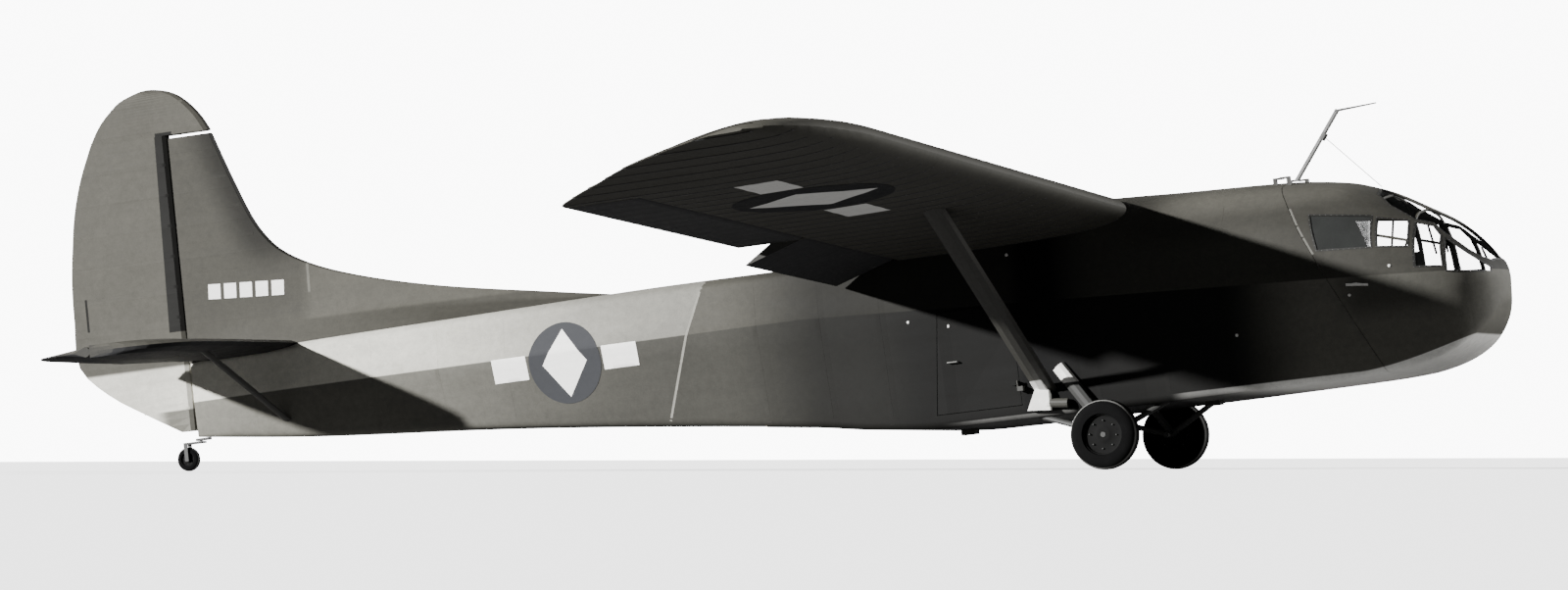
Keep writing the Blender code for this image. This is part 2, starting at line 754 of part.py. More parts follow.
def build_wing(shop, side, name):
    stations = WING_STATIONS[:1] + tuple(smooth_rows(WING_STATIONS[1:]))
    rings = [wing_ring(side, *station) for station in stations]
    wing = shop.node(loft(rings, "wing_" + name), "wing_" + name, OLIVE, 0.7, round_form=True)
    middle, nose = hinge_height()
    for label, (low, high) in (("flap", FLAP_Y), ("aileron", AILERON_Y)):
        start = low - CLEARANCE if label == "aileron" else WING_ROOT_Y - 0.1
        stop = high + CLEARANCE
        rings = []
        for y in (start, stop):
            front = CHORD * HINGE_AT - nose - CLEARANCE
            rings.append([
                wing_point(side, y, front, 0.5),
                wing_point(side, y, CHORD + 0.4, 0.5),
                wing_point(side, y, CHORD + 0.4, -0.6),
                wing_point(side, y, front, -0.6),
            ])
        bay_name = label + "_bay_" + name
        boolean(wing, "DIFFERENCE", shop.cutter(loft(rings, bay_name), bay_name))
        droop = FLAP_DROOP if label == "flap" else 0.0
        pivot = wing_point(side, (low + high) / 2, CHORD * HINGE_AT, middle)
        moving = surface_mesh(side, (low, high), droop, label + "_" + name)
        shop.node(moving, label + "_" + name, OLIVE, 0.7, pivot=pivot, round_form=True)
        for share in (0.12, 0.5, 0.88):
            y = low + (high - low) * share
            centre = wing_point(side, y, CHORD * HINGE_AT, middle)
            pad = box(
                (centre.x + nose + RUNNING, centre.y - 0.02, centre.z - 0.03),
                (centre.x + nose + 0.05, centre.y + 0.02, centre.z + 0.03),
                "pad",
            )
            joined(shop, wing, pad, label + "_pad_" + name + str(int(share * 100)))
    return wing


def wing_under_seat(side, y, aft):
    """Plane just below the facet of the wing's lower surface at a point."""
    front = max(share for share in chord_shares() if CHORD * share <= aft)
    rear = min(share for share in chord_shares() if CHORD * share > aft)
    here = wing_point(side, y, CHORD * front, CHORD * airfoil(front)[1])
    behind = wing_point(side, y, CHORD * rear, CHORD * airfoil(rear)[1])
    outboard = wing_point(side, y + 1.0, CHORD * front, CHORD * airfoil(front)[1])
    normal = (behind - here).cross(outboard - here).normalized()
    if normal.z > 0:
        normal = -normal
    place = here.lerp(behind, (aft / CHORD - front) / (rear - front))
    return place + normal * SEAT_GAP, normal


def build_wing_strut(shop, side, name):
    foot = Vector((STRUT_FOOT_X, side * (hull_at(STRUT_FOOT_X)[2] - FOOT_SINK), STRUT_FOOT_Z))
    aft = WING_LE_X - STRUT_HEAD_X
    seat = wing_under_seat(side, STRUT_HEAD_Y, aft)
    strut = blade(foot, seat[0], STRUT_CHORD, STRUT_THICK, "wing_strut_" + name, (None, seat))
    made = shop.node(strut, "wing_strut_" + name, OLIVE, 0.6, round_form=True)
    low, high = sorted((side * CUFF_Y[0], side * CUFF_Y[1]))
    joined(shop, made, prism_y(CUFF, low, high, "cuff"), "strut_cuff_" + name)
    start = mirrored_point(DAMPER_START, side)
    joined(shop, made, rod(start, start + Vector(DAMPER_RUN), DAMPER_R, "damper"), "damper_" + name)
    boolean(made, "DIFFERENCE", shop.skin)


def ridge_at(x):
    """Height of the dorsal ridge or of the fin's leading edge at x."""
    ridge = smooth_rows(FIN_RIDGE)
    for (near, low), (far, high) in zip(ridge, ridge[1:]):
        if x >= far:
            return low + (high - low) * (near - x) / (near - far)
    return FIN_TOP_Z


def fin_ring(x, base_share, top_w, top_z):
    """Section of the fin: two flanks that spread on to the deck, and the deck's own crown below."""
    station = hull_at(x)
    roof_z, roof_w, crown_z = station[7:]
    base_w = roof_w * base_share
    base_z = crown_z - (crown_z - roof_z) * base_share + GAP
    top_z = max(top_z, crown_z + FIN_LEAST)
    shoulder_z = base_z + min(0.30, (top_z - base_z) * 0.5)
    shoulder_w = top_w + (base_w - top_w) * 0.18
    half = [(base_w, base_z), (shoulder_w, shoulder_z), (top_w, top_z - FIN_LEAST / 2)]
    left = [Vector((x, y, z)) for y, z in half]
    right = [Vector((x, -y, z)) for y, z in reversed(half)]
    return left + [Vector((x, 0.0, top_z))] + right + [Vector((x, 0.0, crown_z + GAP))]


def build_fin(shop):
    """Dorsal ridge and fin as one solid above the hull's deck."""
    end_x = RUDDER_HINGE_X + RUDDER_NOSE + CLEARANCE
    stations = {x for x, _ in smooth_rows(FIN_RIDGE)}
    stations |= {row[0] for row in HULL if FIN_RIDGE[-1][0] < row[0] < FIN_RIDGE[0][0]}
    rings = []
    for x in sorted(stations, reverse=True):
        top = ridge_at(x)
        thin = min(0.012 + (top - hull_at(x)[9]) * 0.05, 0.05)
        rings.append(fin_ring(x, 0.92, thin, top))
    rings.append(fin_ring(end_x, 0.92, 0.06, FIN_TOP_Z))
    fin = shop.node(loft(rings, "fin"), "fin", OLIVE, 0.75)
    face = RUDDER_HINGE_X + RUDDER_NOSE + RUNNING
    for index, z in enumerate(RUDDER_HINGES):
        pad = box((face, -PAD_HALF, z - PAD_HALF), (face + 0.06, PAD_HALF, z + PAD_HALF), "pad")
        joined(shop, fin, pad, "rudder_pad" + str(index))


def rudder_ring(z, lead, trail):
    nose = 0.055
    half = [(lead, 0.001), (lead - 0.02, 0.034), (lead - 0.06, nose), (trail, 0.005)]
    left = [Vector((x, y, z)) for x, y in half]
    right = [Vector((x, -y, z)) for x, y in reversed(half)]
    return left + right


def build_rudder(shop):
    lead = RUDDER_HINGE_X + RUDDER_NOSE
    rings = [rudder_ring(z, lead, trail) for z, trail in smooth_rows(RUDDER_TE)]
    rings += [rudder_ring(z, front, trail) for z, front, trail in smooth_rows(HORN)]
    pivot = (RUDDER_HINGE_X, 0.0, 2.4)
    return shop.node(loft(rings, "rudder"), "rudder", OLIVE, 0.75, pivot=pivot)


def build_tailplane(shop):
    """One stabiliser right across, let into the rear fuselage, and an elevator on each side."""
    rings = []
    points = [(0.0, TAILPLANE_LE[0][1])] + list(TAILPLANE_LE[:1]) + smooth_rows(TAILPLANE_LE[1:])
    rear = TAILPLANE_HINGE_X + ELEVATOR_NOSE + CLEARANCE
    spans = [(-y, x) for y, x in reversed(points[1:])] + points
    for y, lead in spans:
        rings.append(tail_ring(y, lead, rear, TAILPLANE_THICK))
    mesh = loft(rings, "stabiliser")
    stabiliser = shop.node(mesh, "stabiliser", OLIVE, 0.75)
    face = TAILPLANE_HINGE_X + ELEVATOR_NOSE + RUNNING
    for index, y in enumerate(ELEVATOR_HINGES):
        for side in (1, -1):
            low = (face, side * y - PAD_HALF, TAILPLANE_Z - PAD_HALF)
            high = (face + 0.05, side * y + PAD_HALF, TAILPLANE_Z + PAD_HALF)
            joined(shop, stabiliser, box(low, high, "pad"), "elevator_pad" + str(index * side))
    thick = TAILPLANE_THICK + 4 * GAP
    slot_rings = [tail_ring(y, lead + 2 * GAP, rear - 2 * GAP, thick) for y, lead in spans]
    slot = shop.cutter(loft(slot_rings, "tail_slot"), "tail_slot")
    for owner in ("rear_fuselage", "fin"):
        boolean(bpy.data.objects[owner], "DIFFERENCE", slot)
    for side, name in ((1, "left"), (-1, "right")):
        rings = []
        for y, trail in ELEVATOR_TE[:1] + tuple(smooth_rows(ELEVATOR_TE[1:])):
            rings.append(elevator_ring(side * y, trail))
        pivot = (TAILPLANE_HINGE_X, side * 1.4, TAILPLANE_Z)
        label = "elevator_" + name
        shop.node(loft(rings, label), label, OLIVE, 0.75, pivot=pivot, round_form=True)
        foot = Vector((BRACE_FOOT_X, side * (hull_at(BRACE_FOOT_X)[4] - FOOT_SINK), BRACE_FOOT_Z))
        under = TAILPLANE_Z - TAILPLANE_THICK / 2 - GAP
        head = Vector((BRACE_HEAD_X, side * BRACE_HEAD_Y, under))
        seats = (None, (head, Vector((0.0, 0.0, 1.0))))
        brace = blade(foot, head, BRACE_CHORD, BRACE_THICK, "brace", seats)
        brace = shop.node(brace, "stabiliser_strut_" + name, OLIVE, 0.6, round_form=True)
        boolean(brace, "DIFFERENCE", shop.skin)


def tail_ring(y, lead, rear, thick):
    half = thick / 2
    run = lead - rear
    outline = [(lead, 0.0), (lead - run * 0.08, half * 0.55), (lead - run * 0.32, half), (rear, half * 0.95)]
    upper = [Vector((x, y, TAILPLANE_Z + z)) for x, z in outline]
    lower = [Vector((x, y, TAILPLANE_Z - z)) for x, z in reversed(outline[1:])]
    return upper + lower


def elevator_ring(y, trail):
    nose = ELEVATOR_NOSE
    ring = []
    for step in range(7):
        angle = math.pi * step / 6
        ahead = nose * math.sin(angle)
        ring.append(Vector((TAILPLANE_HINGE_X + ahead, y, TAILPLANE_Z + nose * math.cos(angle))))
    trail = min(trail, TAILPLANE_HINGE_X - 0.03)
    ring.append(Vector((trail, y, TAILPLANE_Z - 0.005)))
    ring.append(Vector((trail, y, TAILPLANE_Z + 0.005)))
    return ring


def hull_point(x, z):
    """Hull-frame x, z of a point given by its distance ahead of the datum and its height above the ground."""
    lift = z - DATUM_Z
    return x * math.cos(PITCH) + lift * math.sin(PITCH), -x * math.sin(PITCH) + lift * math.cos(PITCH)


def spun(profile, sides, name):
    """A closed profile of radius, height points turned about Z; it runs down its outer side first."""
    mesh = bpy.data.meshes.new(name)
    count = len(profile)
    mesh.from_pydata([(r, 0.0, h) for r, h in profile], [(i, (i + 1) % count) for i in range(count)], [])
    holder = bpy.data.objects.new(name, mesh)
    bpy.context.scene.collection.objects.link(holder)
    screw = holder.modifiers.new("turn", "SCREW")
    screw.steps = sides
    screw.render_steps = sides
    screw.use_merge_vertices = True
    screw.merge_threshold = 0.00001
    made = bpy.data.meshes.new_from_object(holder.evaluated_get(bpy.context.evaluated_depsgraph_get()))
    made.name = name
    bpy.data.objects.remove(holder, do_unlink=True)
    return made


def wheel_mesh(radius, width, bore, name, centre):
    """A tyre and its dished disc turned about the axle."""
    half = width / 2
    rounded = [
        (bore, half * 0.55),
        (radius * 0.20, half * 0.66),
        (radius * 0.52, half * 0.62),
        (radius * 0.58, half * 0.88),
        (radius * 0.70, half),
        (radius * 0.84, half * 0.94),
        (radius * 0.94, half * 0.70),
        (radius, half * 0.25),
    ]
    profile = [(r, w) for r, w in rounded] + [(r, -w) for r, w in reversed(rounded)]
    wheel = spun(profile, WHEEL_SIDES, name)
    wheel.transform(Matrix.Rotation(math.radians(-90.0), 4, "X"))
    wheel.transform(Matrix.Rotation(math.radians(90.0), 4, "Y"))
    wheel.transform(Matrix.Translation(centre))
    return wheel


def build_gear(shop, side, name):
    x, z = hull_point(WHEEL_X, WHEEL_R)
    centre = Vector((x, side * WHEEL_Y, z))
    wheel = wheel_mesh(WHEEL_R, WHEEL_WIDTH, AXLE_BORE, "wheel", centre)
    turn_wheel_flat(wheel, centre)
    shop.node(wheel, "main_wheel_" + name, RUBBER, 0.85, pivot=centre, round_form=True)
    outer = side * (WHEEL_Y + AXLE_BEYOND)
    axle = rod((x, side * AXLE_INNER_Y, z), (x, outer, z), AXLE_BORE - RUNNING, "axle", 16)
    leg = shop.node(axle, "gear_frame_" + name, GREY, 0.6, round_form=True)
    hub = Vector((x, side * GEAR_INNER_Y, z))
    top = mirrored_point(GEAR_STRUT_TOP, side)
    fore = mirrored_point((x + GEAR_FORE_FOOT[0],) + GEAR_FORE_FOOT[1:], side)
    aft = mirrored_point((x + GEAR_AFT_FOOT[0],) + GEAR_AFT_FOOT[1:], side)
    ahead = hub + Vector((AXLE_BORE, 0.0, 0.0))
    struts = ((top, ahead), (hub, fore), (hub, aft))
    for index, ((start, end), radius) in enumerate(zip(struts, GEAR_STRUT_R)):
        joined(shop, leg, rod(start, end, radius, "strut", 10), "gear_strut_" + name + str(index))
    sleeve = blade(top, top.lerp(ahead, SLEEVE_SHARE), SLEEVE_CHORD, SLEEVE_THICK, "sleeve")
    joined(shop, leg, sleeve, "gear_sleeve_" + name)
    boolean(leg, "DIFFERENCE", shop.skin)


def turn_wheel_flat(mesh, centre):
    """Turns a wheel back by the hull's pitch, so that one of its flats meets the ground."""
    turn = Matrix.Translation(centre) @ Matrix.Rotation(PITCH, 4, "Y") @ Matrix.Translation(-centre)
    mesh.transform(turn)


def build_tail_gear(shop):
    x, z = hull_point(TAIL_WHEEL_X, TAIL_WHEEL_R)
    centre = Vector((x, 0.0, z))
    wheel = wheel_mesh(TAIL_WHEEL_R, TAIL_WHEEL_WIDTH, TAIL_BORE, "tail_wheel", centre)
    turn_wheel_flat(wheel, centre)
    shop.node(wheel, "tail_wheel", RUBBER, 0.85, pivot=centre, round_form=True)
    bottom = hull_at(FORK_AXIS_X + 0.10)[1] - 2 * GAP
    crown = z + TAIL_WHEEL_R + 0.025
    low = (FORK_AXIS_X - 0.045, -0.035, crown + FORK_CROWN + CLEARANCE)
    block = box(low, (FORK_AXIS_X + 0.10, 0.035, bottom), "mount")
    mount = shop.node(block, "tail_wheel_mount", GREY, 0.6)
    start = Vector((FORK_AXIS_X, 0.0, crown))
    spindle = rod(start + Vector((0, 0, 0.035)), start + Vector((0, 0, 0.002)), SPINDLE_R, "spindle")
    joined(shop, mount, spindle, "tail_spindle")
    reach = TAIL_WHEEL_WIDTH / 2 + FORK_SIDE_GAP
    wide = reach + FORK_PLATE
    bridge = box((x - 0.02, -wide, crown), (FORK_AXIS_X + 0.03, wide, crown + FORK_CROWN), "fork")
    pivot = (FORK_AXIS_X, 0.0, crown + FORK_CROWN)
    fork = shop.node(bridge, "tail_wheel_fork", GREY, 0.6, pivot=pivot)
    for side in (1, -1):
        low, high = sorted((side * reach, side * wide))
        arm = box((x - 0.02, low, z - 0.02), (x + 0.02, high, crown + FORK_CROWN * 0.75), "arm")
        joined(shop, fork, arm, "fork_arm" + str(side))
    half = reach + FORK_PLATE / 2
    axle = rod((x, -half, z), (x, half, z), TAIL_BORE - RUNNING, "axle")
    joined(shop, fork, axle, "fork_axle")
    hole = rod(start - Vector((0, 0, 0.05)), start + Vector((0, 0, 0.10)), SPINDLE_R + RUNNING, "hole")
    boolean(fork, "DIFFERENCE", shop.cutter(hole, "fork_hole"))


def build_nose(shop):
    """The nose that swings up about the roof: walls with window openings, glazing, floor, seats and mast."""
    pivot = (SEAM_FOOT_X - SEAM_SLOPE * NOSE_HINGE_Z, 0.0, NOSE_HINGE_Z)
    ahead = shop.cutter(seam_block(True, "ahead_of_seam"), "ahead_of_seam")
    holes = []
    for index, outline in enumerate(window_outlines()):
        name = "window_hole" + str(index)
        holes.append(shop.cutter(prism_y(outline, -1.3, 1.3, name), name))
    for name, section in (("nose_belly", belly_section), ("nose_roof", roof_section)):
        made = shop.node(wall(5.2, NOSE_CAP_X, section, name), name, OLIVE, 0.75, pivot=pivot)
        boolean(made, "INTERSECT", ahead)
    for side, name in ((1, "left"), (-1, "right")):
        outline = [(x, side * y) for x, y in WINDSHIELD]
        hole = shop.cutter(prism_z(outline, 0.7, 2.2, "windshield_hole_" + name), "windshield_hole_" + name)
        boolean(bpy.data.objects["nose_roof"], "DIFFERENCE", hole)
    for side, name in ((1, "left"), (-1, "right")):
        label = "nose_side_" + name
        flank = wall(5.2, NOSE_CAP_X, lambda x: side_section(x, side), label)
        made = shop.node(flank, label, OLIVE, 0.75, pivot=pivot)
        boolean(made, "INTERSECT", ahead)
        for hole in holes:
            boolean(made, "DIFFERENCE", hole)
        build_seat(shop, side, name, pivot)
    cap = hull_loft(NOSE_CAP_X + GAP, HULL[-1][0], "nose_cap")
    shop.node(cap, "nose_cap", OLIVE, 0.75, pivot=pivot)
    half = COCKPIT_FLOOR_HALF
    floor = floor_board(COCKPIT_FLOOR_X[0], COCKPIT_FLOOR_X[1], -half, half, "cockpit_floor")
    shop.node(floor, "cockpit_floor", PLYWOOD, 0.8, pivot=pivot)
    build_mast(shop, pivot)
    nose_knuckles(shop, pivot)
    build_glazing(shop, pivot)
    build_controls(shop, pivot)


def build_glazing(shop, pivot):
    """Clear sheets behind the window openings: one under the roof and one inside each flank."""
    sheet = wall(WINDSHIELD_REAR_X, NOSE_CAP_X, windshield_section, "windshield")
    shop.node(sheet, "windshield", GLASS, 0.08, pivot=pivot, alpha=GLASS_ALPHA)
    for side, name in ((1, "left"), (-1, "right")):
        sheet = wall(GLAZING_REAR_X, NOSE_CAP_X, lambda x: glazing_section(x, side), "glazing")
        label = "side_glazing_" + name
        made = shop.node(sheet, label, GLASS, 0.08, pivot=pivot, alpha=GLASS_ALPHA)
        keep = shop.cutter(seam_block(True, "ahead_" + label, GLAZING_SEAM), "ahead_" + label)
        boolean(made, "INTERSECT", keep)


def build_controls(shop, pivot):
    """Instrument panel on its pedestal, and the control column with a wheel for each pilot."""
    x = PANEL_X
    half_x, half_y = PANEL_STAND_HALF
    foot = (x - half_x, -half_y, floor_top(x + half_x))
    stand = box(foot, (x + half_x, half_y, PANEL_Z[0] + 0.05), "stand")
    panel = shop.node(stand, "instrument_panel", PANEL_BLACK, 0.6, pivot=pivot)
    back = x - 0.005
    face = box((back - PANEL_THICK, -PANEL_HALF, PANEL_Z[0]), (back, PANEL_HALF, PANEL_Z[1]), "face")
    joined(shop, panel, face, "panel_face")
    x, z = COLUMN_X, COLUMN_Z
    post = rod((x, 0, floor_top(x + COLUMN_R)), (x, 0, z), COLUMN_R, "column", 10)
    column = shop.node(post, "control_column", GREY, 0.5, pivot=pivot, round_form=True)
    joined(shop, column, rod((x, -SEAT_Y, z), (x, SEAT_Y, z), COLUMN_BAR_R, "bar", 10), "column_bar")
    for side, name in ((1, "left"), (-1, "right")):
        hub = Vector((x, side * SEAT_Y, z))
        boss = hub + Vector(YOKE_REACH)
        shaft = rod(hub + Vector((COLUMN_BAR_R, 0, 0)), boss, YOKE_SHAFT_R, "shaft", 8)
        joined(shop, column, shaft, "yoke_shaft_" + name)
        outer, inner = YOKE_R + YOKE_RIM, YOKE_R - YOKE_RIM
        deep = YOKE_RIM_DEEP
        rim = spun([(outer, deep), (outer, -deep), (inner, -deep), (inner, deep)], 16, "rim")
        rim.transform(Matrix.Translation(boss) @ Matrix.Rotation(math.radians(90.0), 4, "Y"))
        joined(shop, column, rim, "yoke_rim_" + name)
        spoke = box(boss + Vector((-0.006, -YOKE_R, -0.012)), boss + Vector((0.006, YOKE_R, 0.012)), "spoke")
        joined(shop, column, spoke, "yoke_spoke_" + name)


def nose_knuckles(shop, pivot):
    """Two hinges on the roof: pins carried by the hull, and straps on the nose that bear on them."""
    x, _, z = pivot
    thick = NOSE_PIN
    bottom = z - NOSE_POST_DEEP
    inner, middle, outer = NOSE_KNUCKLE_Y
    hull_roof = bpy.data.objects["hull_roof"]
    nose_roof = bpy.data.objects["nose_roof"]
    for side, name in ((1, "left"), (-1, "right")):
        pin = rod((x, side * inner, z), (x, side * outer, z), NOSE_PIN, "pin")
        joined(shop, hull_roof, pin, "nose_pin_" + name)
        low, high = sorted((side * inner, side * middle))
        rear = x - NOSE_ARM
        arm = box((rear, low, z - thick), (x, high, z + thick), "arm")
        joined(shop, hull_roof, arm, "hull_arm_" + name)
        post = box((rear, low, bottom), (rear + NOSE_POST, high, z), "post")
        joined(shop, hull_roof, post, "hull_post_" + name)
        low, high = sorted((side * (middle + CLEARANCE), side * outer))
        front = x + NOSE_ARM
        bearing = x + NOSE_PIN + RUNNING
        arm = box((bearing, low, z - thick), (front, high, z + thick), "arm")
        joined(shop, nose_roof, arm, "nose_arm_" + name)
        post = box((front - NOSE_POST, low, bottom), (front, high, z), "post")
        joined(shop, nose_roof, post, "nose_post_" + name)


def build_seat(shop, side, name, pivot):
    """A pilot's seat: pan and back as one bent plate."""
    y = side * SEAT_Y
    leg_z = floor_top(6.56)
    outline = (
        (6.72, 0.46), (6.36, 0.42), (6.12, 0.93), (6.08, 0.91), (6.345, 0.38), (6.52, 0.40),
        (6.52, leg_z), (6.56, leg_z), (6.56, 0.405), (6.72, 0.43),
    )
    seat = prism_y(outline, y - SEAT_WIDE / 2, y + SEAT_WIDE / 2, "seat")
    shop.node(seat, "pilot_seat_" + name, SEAT_BROWN, 0.8, pivot=pivot)


def build_mast(shop, pivot):
    """The forward-leaning air-speed mast on the nose's roof, with its pitot tube and its stay."""
    foot = Vector((MAST_FOOT_X, 0.0, hull_at(MAST_FOOT_X)[9] + SEAT_GAP))
    top = Vector(MAST_TOP)
    lean = (hull_at(5.55)[9] - hull_at(6.10)[9]) / 0.55
    seat = (foot, Vector((lean, 0.0, 1.0)))
    blank = blade(foot, top, MAST_CHORD, MAST_THICK, "mast", (seat, None))
    mast = shop.node(blank, "pitot_mast", GREY, 0.5, pivot=pivot, round_form=True)
    pitot = rod(top - Vector((0.03, 0, 0.01)), PITOT_TIP, PITOT_R, "pitot", 10, PITOT_TIP_R)
    joined(shop, mast, pitot, "pitot")
    ball = Vector(MAST_BALL)
    along = (top - foot).normalized() * 0.034
    joined(shop, mast, rod(ball - along, ball + along, MAST_COLLAR_R, "collar", 10), "collar")
    end = Vector((STAY_END_X, 0.0, hull_at(STAY_END_X)[9] + STAY_R + 0.003))
    joined(shop, mast, rod(ball, end, STAY_R, "stay", 6), "stay")


def main():
    clear_scene()
    shop = Workshop()
    build_hull(shop)
    build_tail_cone(shop)
    build_fin(shop)
    for side, name in ((1, "left"), (-1, "right")):
        build_wing(shop, side, name)
        build_wing_strut(shop, side, name)
        build_gear(shop, side, name)
    build_tailplane(shop)
    build_rudder(shop)
    build_tail_gear(shop)
    build_nose(shop)


main()
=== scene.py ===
"""Looks of a parked, strut-braced cargo glider: fabric, tapes, glazing, wheels, cockpit, paint and stage.

The hull frame is the one in which the glider was drawn: +X towards the nose, +Y to the left wing, +Z up
from the cargo floor. The parked glider is that frame pitched nose-up, and at() turns its points into
scene points.
"""

import math

import bmesh
import bpy
from bpy.props import FloatProperty, FloatVectorProperty, IntProperty, PointerProperty
from mathutils import Matrix, Vector
from mathutils.bvhtree import BVHTree


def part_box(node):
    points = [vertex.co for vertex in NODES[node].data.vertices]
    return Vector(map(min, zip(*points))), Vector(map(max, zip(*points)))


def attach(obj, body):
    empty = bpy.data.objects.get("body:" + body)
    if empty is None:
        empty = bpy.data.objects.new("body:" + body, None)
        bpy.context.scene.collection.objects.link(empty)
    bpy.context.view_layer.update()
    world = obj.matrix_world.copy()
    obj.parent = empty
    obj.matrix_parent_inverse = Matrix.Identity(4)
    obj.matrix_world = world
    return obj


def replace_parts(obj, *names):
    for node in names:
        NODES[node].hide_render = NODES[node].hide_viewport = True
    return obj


bl_info = {
    "name": "Cargo glider looks",
    "version": (1, 0, 0),
    "blender": (4, 5, 0),
    "location": "3D View > Sidebar > Glider",
    "description": "Dresses a packed cargo glider with fabric, tapes, glazing, wheels and paint",
    "category": "Object",
}

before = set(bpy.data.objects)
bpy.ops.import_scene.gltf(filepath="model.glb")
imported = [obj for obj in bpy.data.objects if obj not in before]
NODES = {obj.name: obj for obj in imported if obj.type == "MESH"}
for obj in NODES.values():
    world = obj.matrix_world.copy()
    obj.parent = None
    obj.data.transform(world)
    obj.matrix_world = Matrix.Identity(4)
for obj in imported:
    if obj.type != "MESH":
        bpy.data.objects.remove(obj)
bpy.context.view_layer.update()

# Width of the camera's image in pixels
IMAGE_WIDTH = 1600.0
# Parked attitude of the hull frame
PITCH = math.radians(6.25)
DATUM_X = 0.04981
DATUM_Z = 0.152

# Wing plan and section, as the solids have them
WING_ROOT_Y = 0.96
WING_LE_X = 4.197
WING_LE_Z = 1.850
CHORD = 3.0
INCIDENCE = math.radians(4.0)
DIHEDRAL = math.radians(3.2)
THICKNESS = 0.13
CAMBER = 0.025
CAMBER_AT = 0.40
HINGE_AT = 0.80
AILERON_Y = (3.42, 7.46)
FLAP_Y = (1.00, 3.38)
BAY_GAP = 0.006
TIP_OUTLINE = (
    (0.96, 0.0, 3.0),
    (7.53, 0.0, 3.0),
    (7.92, 0.005, 2.74),
    (8.40, 0.050, 2.29),
    (8.80, 0.120, 1.92),
    (9.22, 0.270, 1.34),
    (9.40, 0.400, 1.04),
    (9.475, 0.560, 0.86),
)
# Span between the first and the last rib
RIB_SPAN = TIP_OUTLINE[-2][0] - WING_ROOT_Y
# Distances between formers and ribs, as the fabric's sag shows them
FORMER_PITCH = 0.62
FIN_RIB_PITCH = 0.33
TAIL_RIB_PITCH = 0.30

# Hull stations: x, belly z and half width, side crease z and half width, shoulder z and half width,
# roof edge z and half width, crown z
HULL = (
    (-6.014, 0.850, 0.030, 1.20, 0.050, 1.56, 0.050, 1.60, 0.035, 1.60105),
    (-4.80, 0.718, 0.200, 1.20, 0.320, 1.59, 0.290, 1.65, 0.220, 1.6566),
    (-2.80, 0.566, 0.400, 1.20, 0.570, 1.62, 0.500, 1.68, 0.420, 1.6926),
    (-0.60, 0.342, 0.640, 1.20, 0.820, 1.64, 0.740, 1.71, 0.620, 1.7286),
    (0.85, 0.162, 0.780, 1.20, 0.930, 1.645, 0.890, 1.70, 0.800, 1.735),
    (1.40, 0.078, 0.830, 1.18, 0.950, 1.64, 0.930, 1.72, 0.890, 1.76),
    (2.20, 0.005, 0.880, 1.15, 0.970, 1.60, 0.9597, 1.86, 0.930, 1.93),
    (3.10, 0.000, 0.900, 1.10, 0.972, 1.57, 0.9597, 1.98, 0.930, 2.05),
    (4.00, 0.000, 0.900, 1.05, 0.972, 1.55, 0.9597, 1.95, 0.900, 2.025),
    (4.45, 0.000, 0.900, 1.02, 0.970, 1.52, 0.940, 1.93, 0.640, 2.01),
    (5.55, 0.010, 0.895, 0.98, 0.965, 1.46, 0.925, 1.88, 0.580, 1.972),
    (6.10, 0.018, 0.880, 0.96, 0.950, 1.40, 0.895, 1.81, 0.560, 1.905),
    (6.50, 0.036, 0.840, 0.94, 0.920, 1.32, 0.850, 1.67, 0.535, 1.775),
    (6.85, 0.095, 0.760, 0.92, 0.855, 1.22, 0.775, 1.48, 0.490, 1.585),
    (7.15, 0.215, 0.630, 0.90, 0.735, 1.12, 0.660, 1.30, 0.410, 1.395),
    (7.36, 0.385, 0.440, 0.87, 0.545, 1.02, 0.480, 1.11, 0.290, 1.185),
    (7.46, 0.525, 0.290, 0.85, 0.370, 0.95, 0.320, 1.00, 0.190, 1.040),
    (7.51, 0.640, 0.130, 0.81, 0.160, 0.86, 0.140, 0.90, 0.090, 0.915),
    (7.522, 0.740, 0.030, 0.78, 0.040, 0.80, 0.036, 0.81, 0.024, 0.815),
)
# Corners of a hull section: longest cut on each side of the belly's edge, shoulder, roof edge and crown
CORNER_CUTS = (0.07, 0.12, 0.16, 0.22)
# Front of the bulkhead
BULKHEAD_X = 0.2997
# Seam on which the nose opens, and half its gap
SEAM_FOOT_X = 6.522
SEAM_SLOPE = 0.495
SEAM_HALF_GAP = 0.003
# Side door and its opening: lower and upper corners at the rear and at the front, and the gap round the leaf
DOOR_HOLE = ((2.095, 0.14), (2.95, 0.14), (2.95, 1.10), (2.225, 1.10))
DOOR_GAP = 0.006
DOOR_HINGE = (2.953, 0.985, (0.32, 0.92))
# Nose hinges: height and x of their axis, and y at the fixed knuckle's start, between the knuckles and at
# the swinging knuckle's end
NOSE_HINGE_Z = 1.99
NOSE_HINGE_X = SEAM_FOOT_X - SEAM_SLOPE * NOSE_HINGE_Z
NOSE_KNUCKLE_Y = (0.22, 0.28, 0.34)
BELLY_PADS_X = (2.10, 4.56)
# Ridge and leading edge of the fin: x, z; and the fin's rear edge
FIN_RIDGE = (
    (-1.30, 1.72),
    (-2.07, 1.845),
    (-3.35, 2.07),
    (-4.38, 2.345),
    (-4.90, 2.60),
    (-5.15, 2.88),
    (-5.36, 3.34),
    (-5.56, 3.87),
)
# Length over which the ridge's foot widens on the deck
RIDGE_SPREAD_RUN = 2.2
FIN_REAR_X = -6.014

# Half width of the soft edge between two paints, scale of the weave, and how marks stand on the fabric
PAINT_EDGE = 0.006
WEAVE_SCALE = 900.0
MARK_LIFT = 0.0022
PAINT_DEPTH = 0.0008
# Colour of the pale cuff and sleeve, a painted light where the sun reaches them
PALE_PAINT = (0.62, 0.61, 0.58)
# Side crease of the hull: its height at the rear, and where and how much it comes down towards the nose
CREASE_Z = 1.20
CREASE_DROP_X = 0.85
CREASE_DROP = 0.046
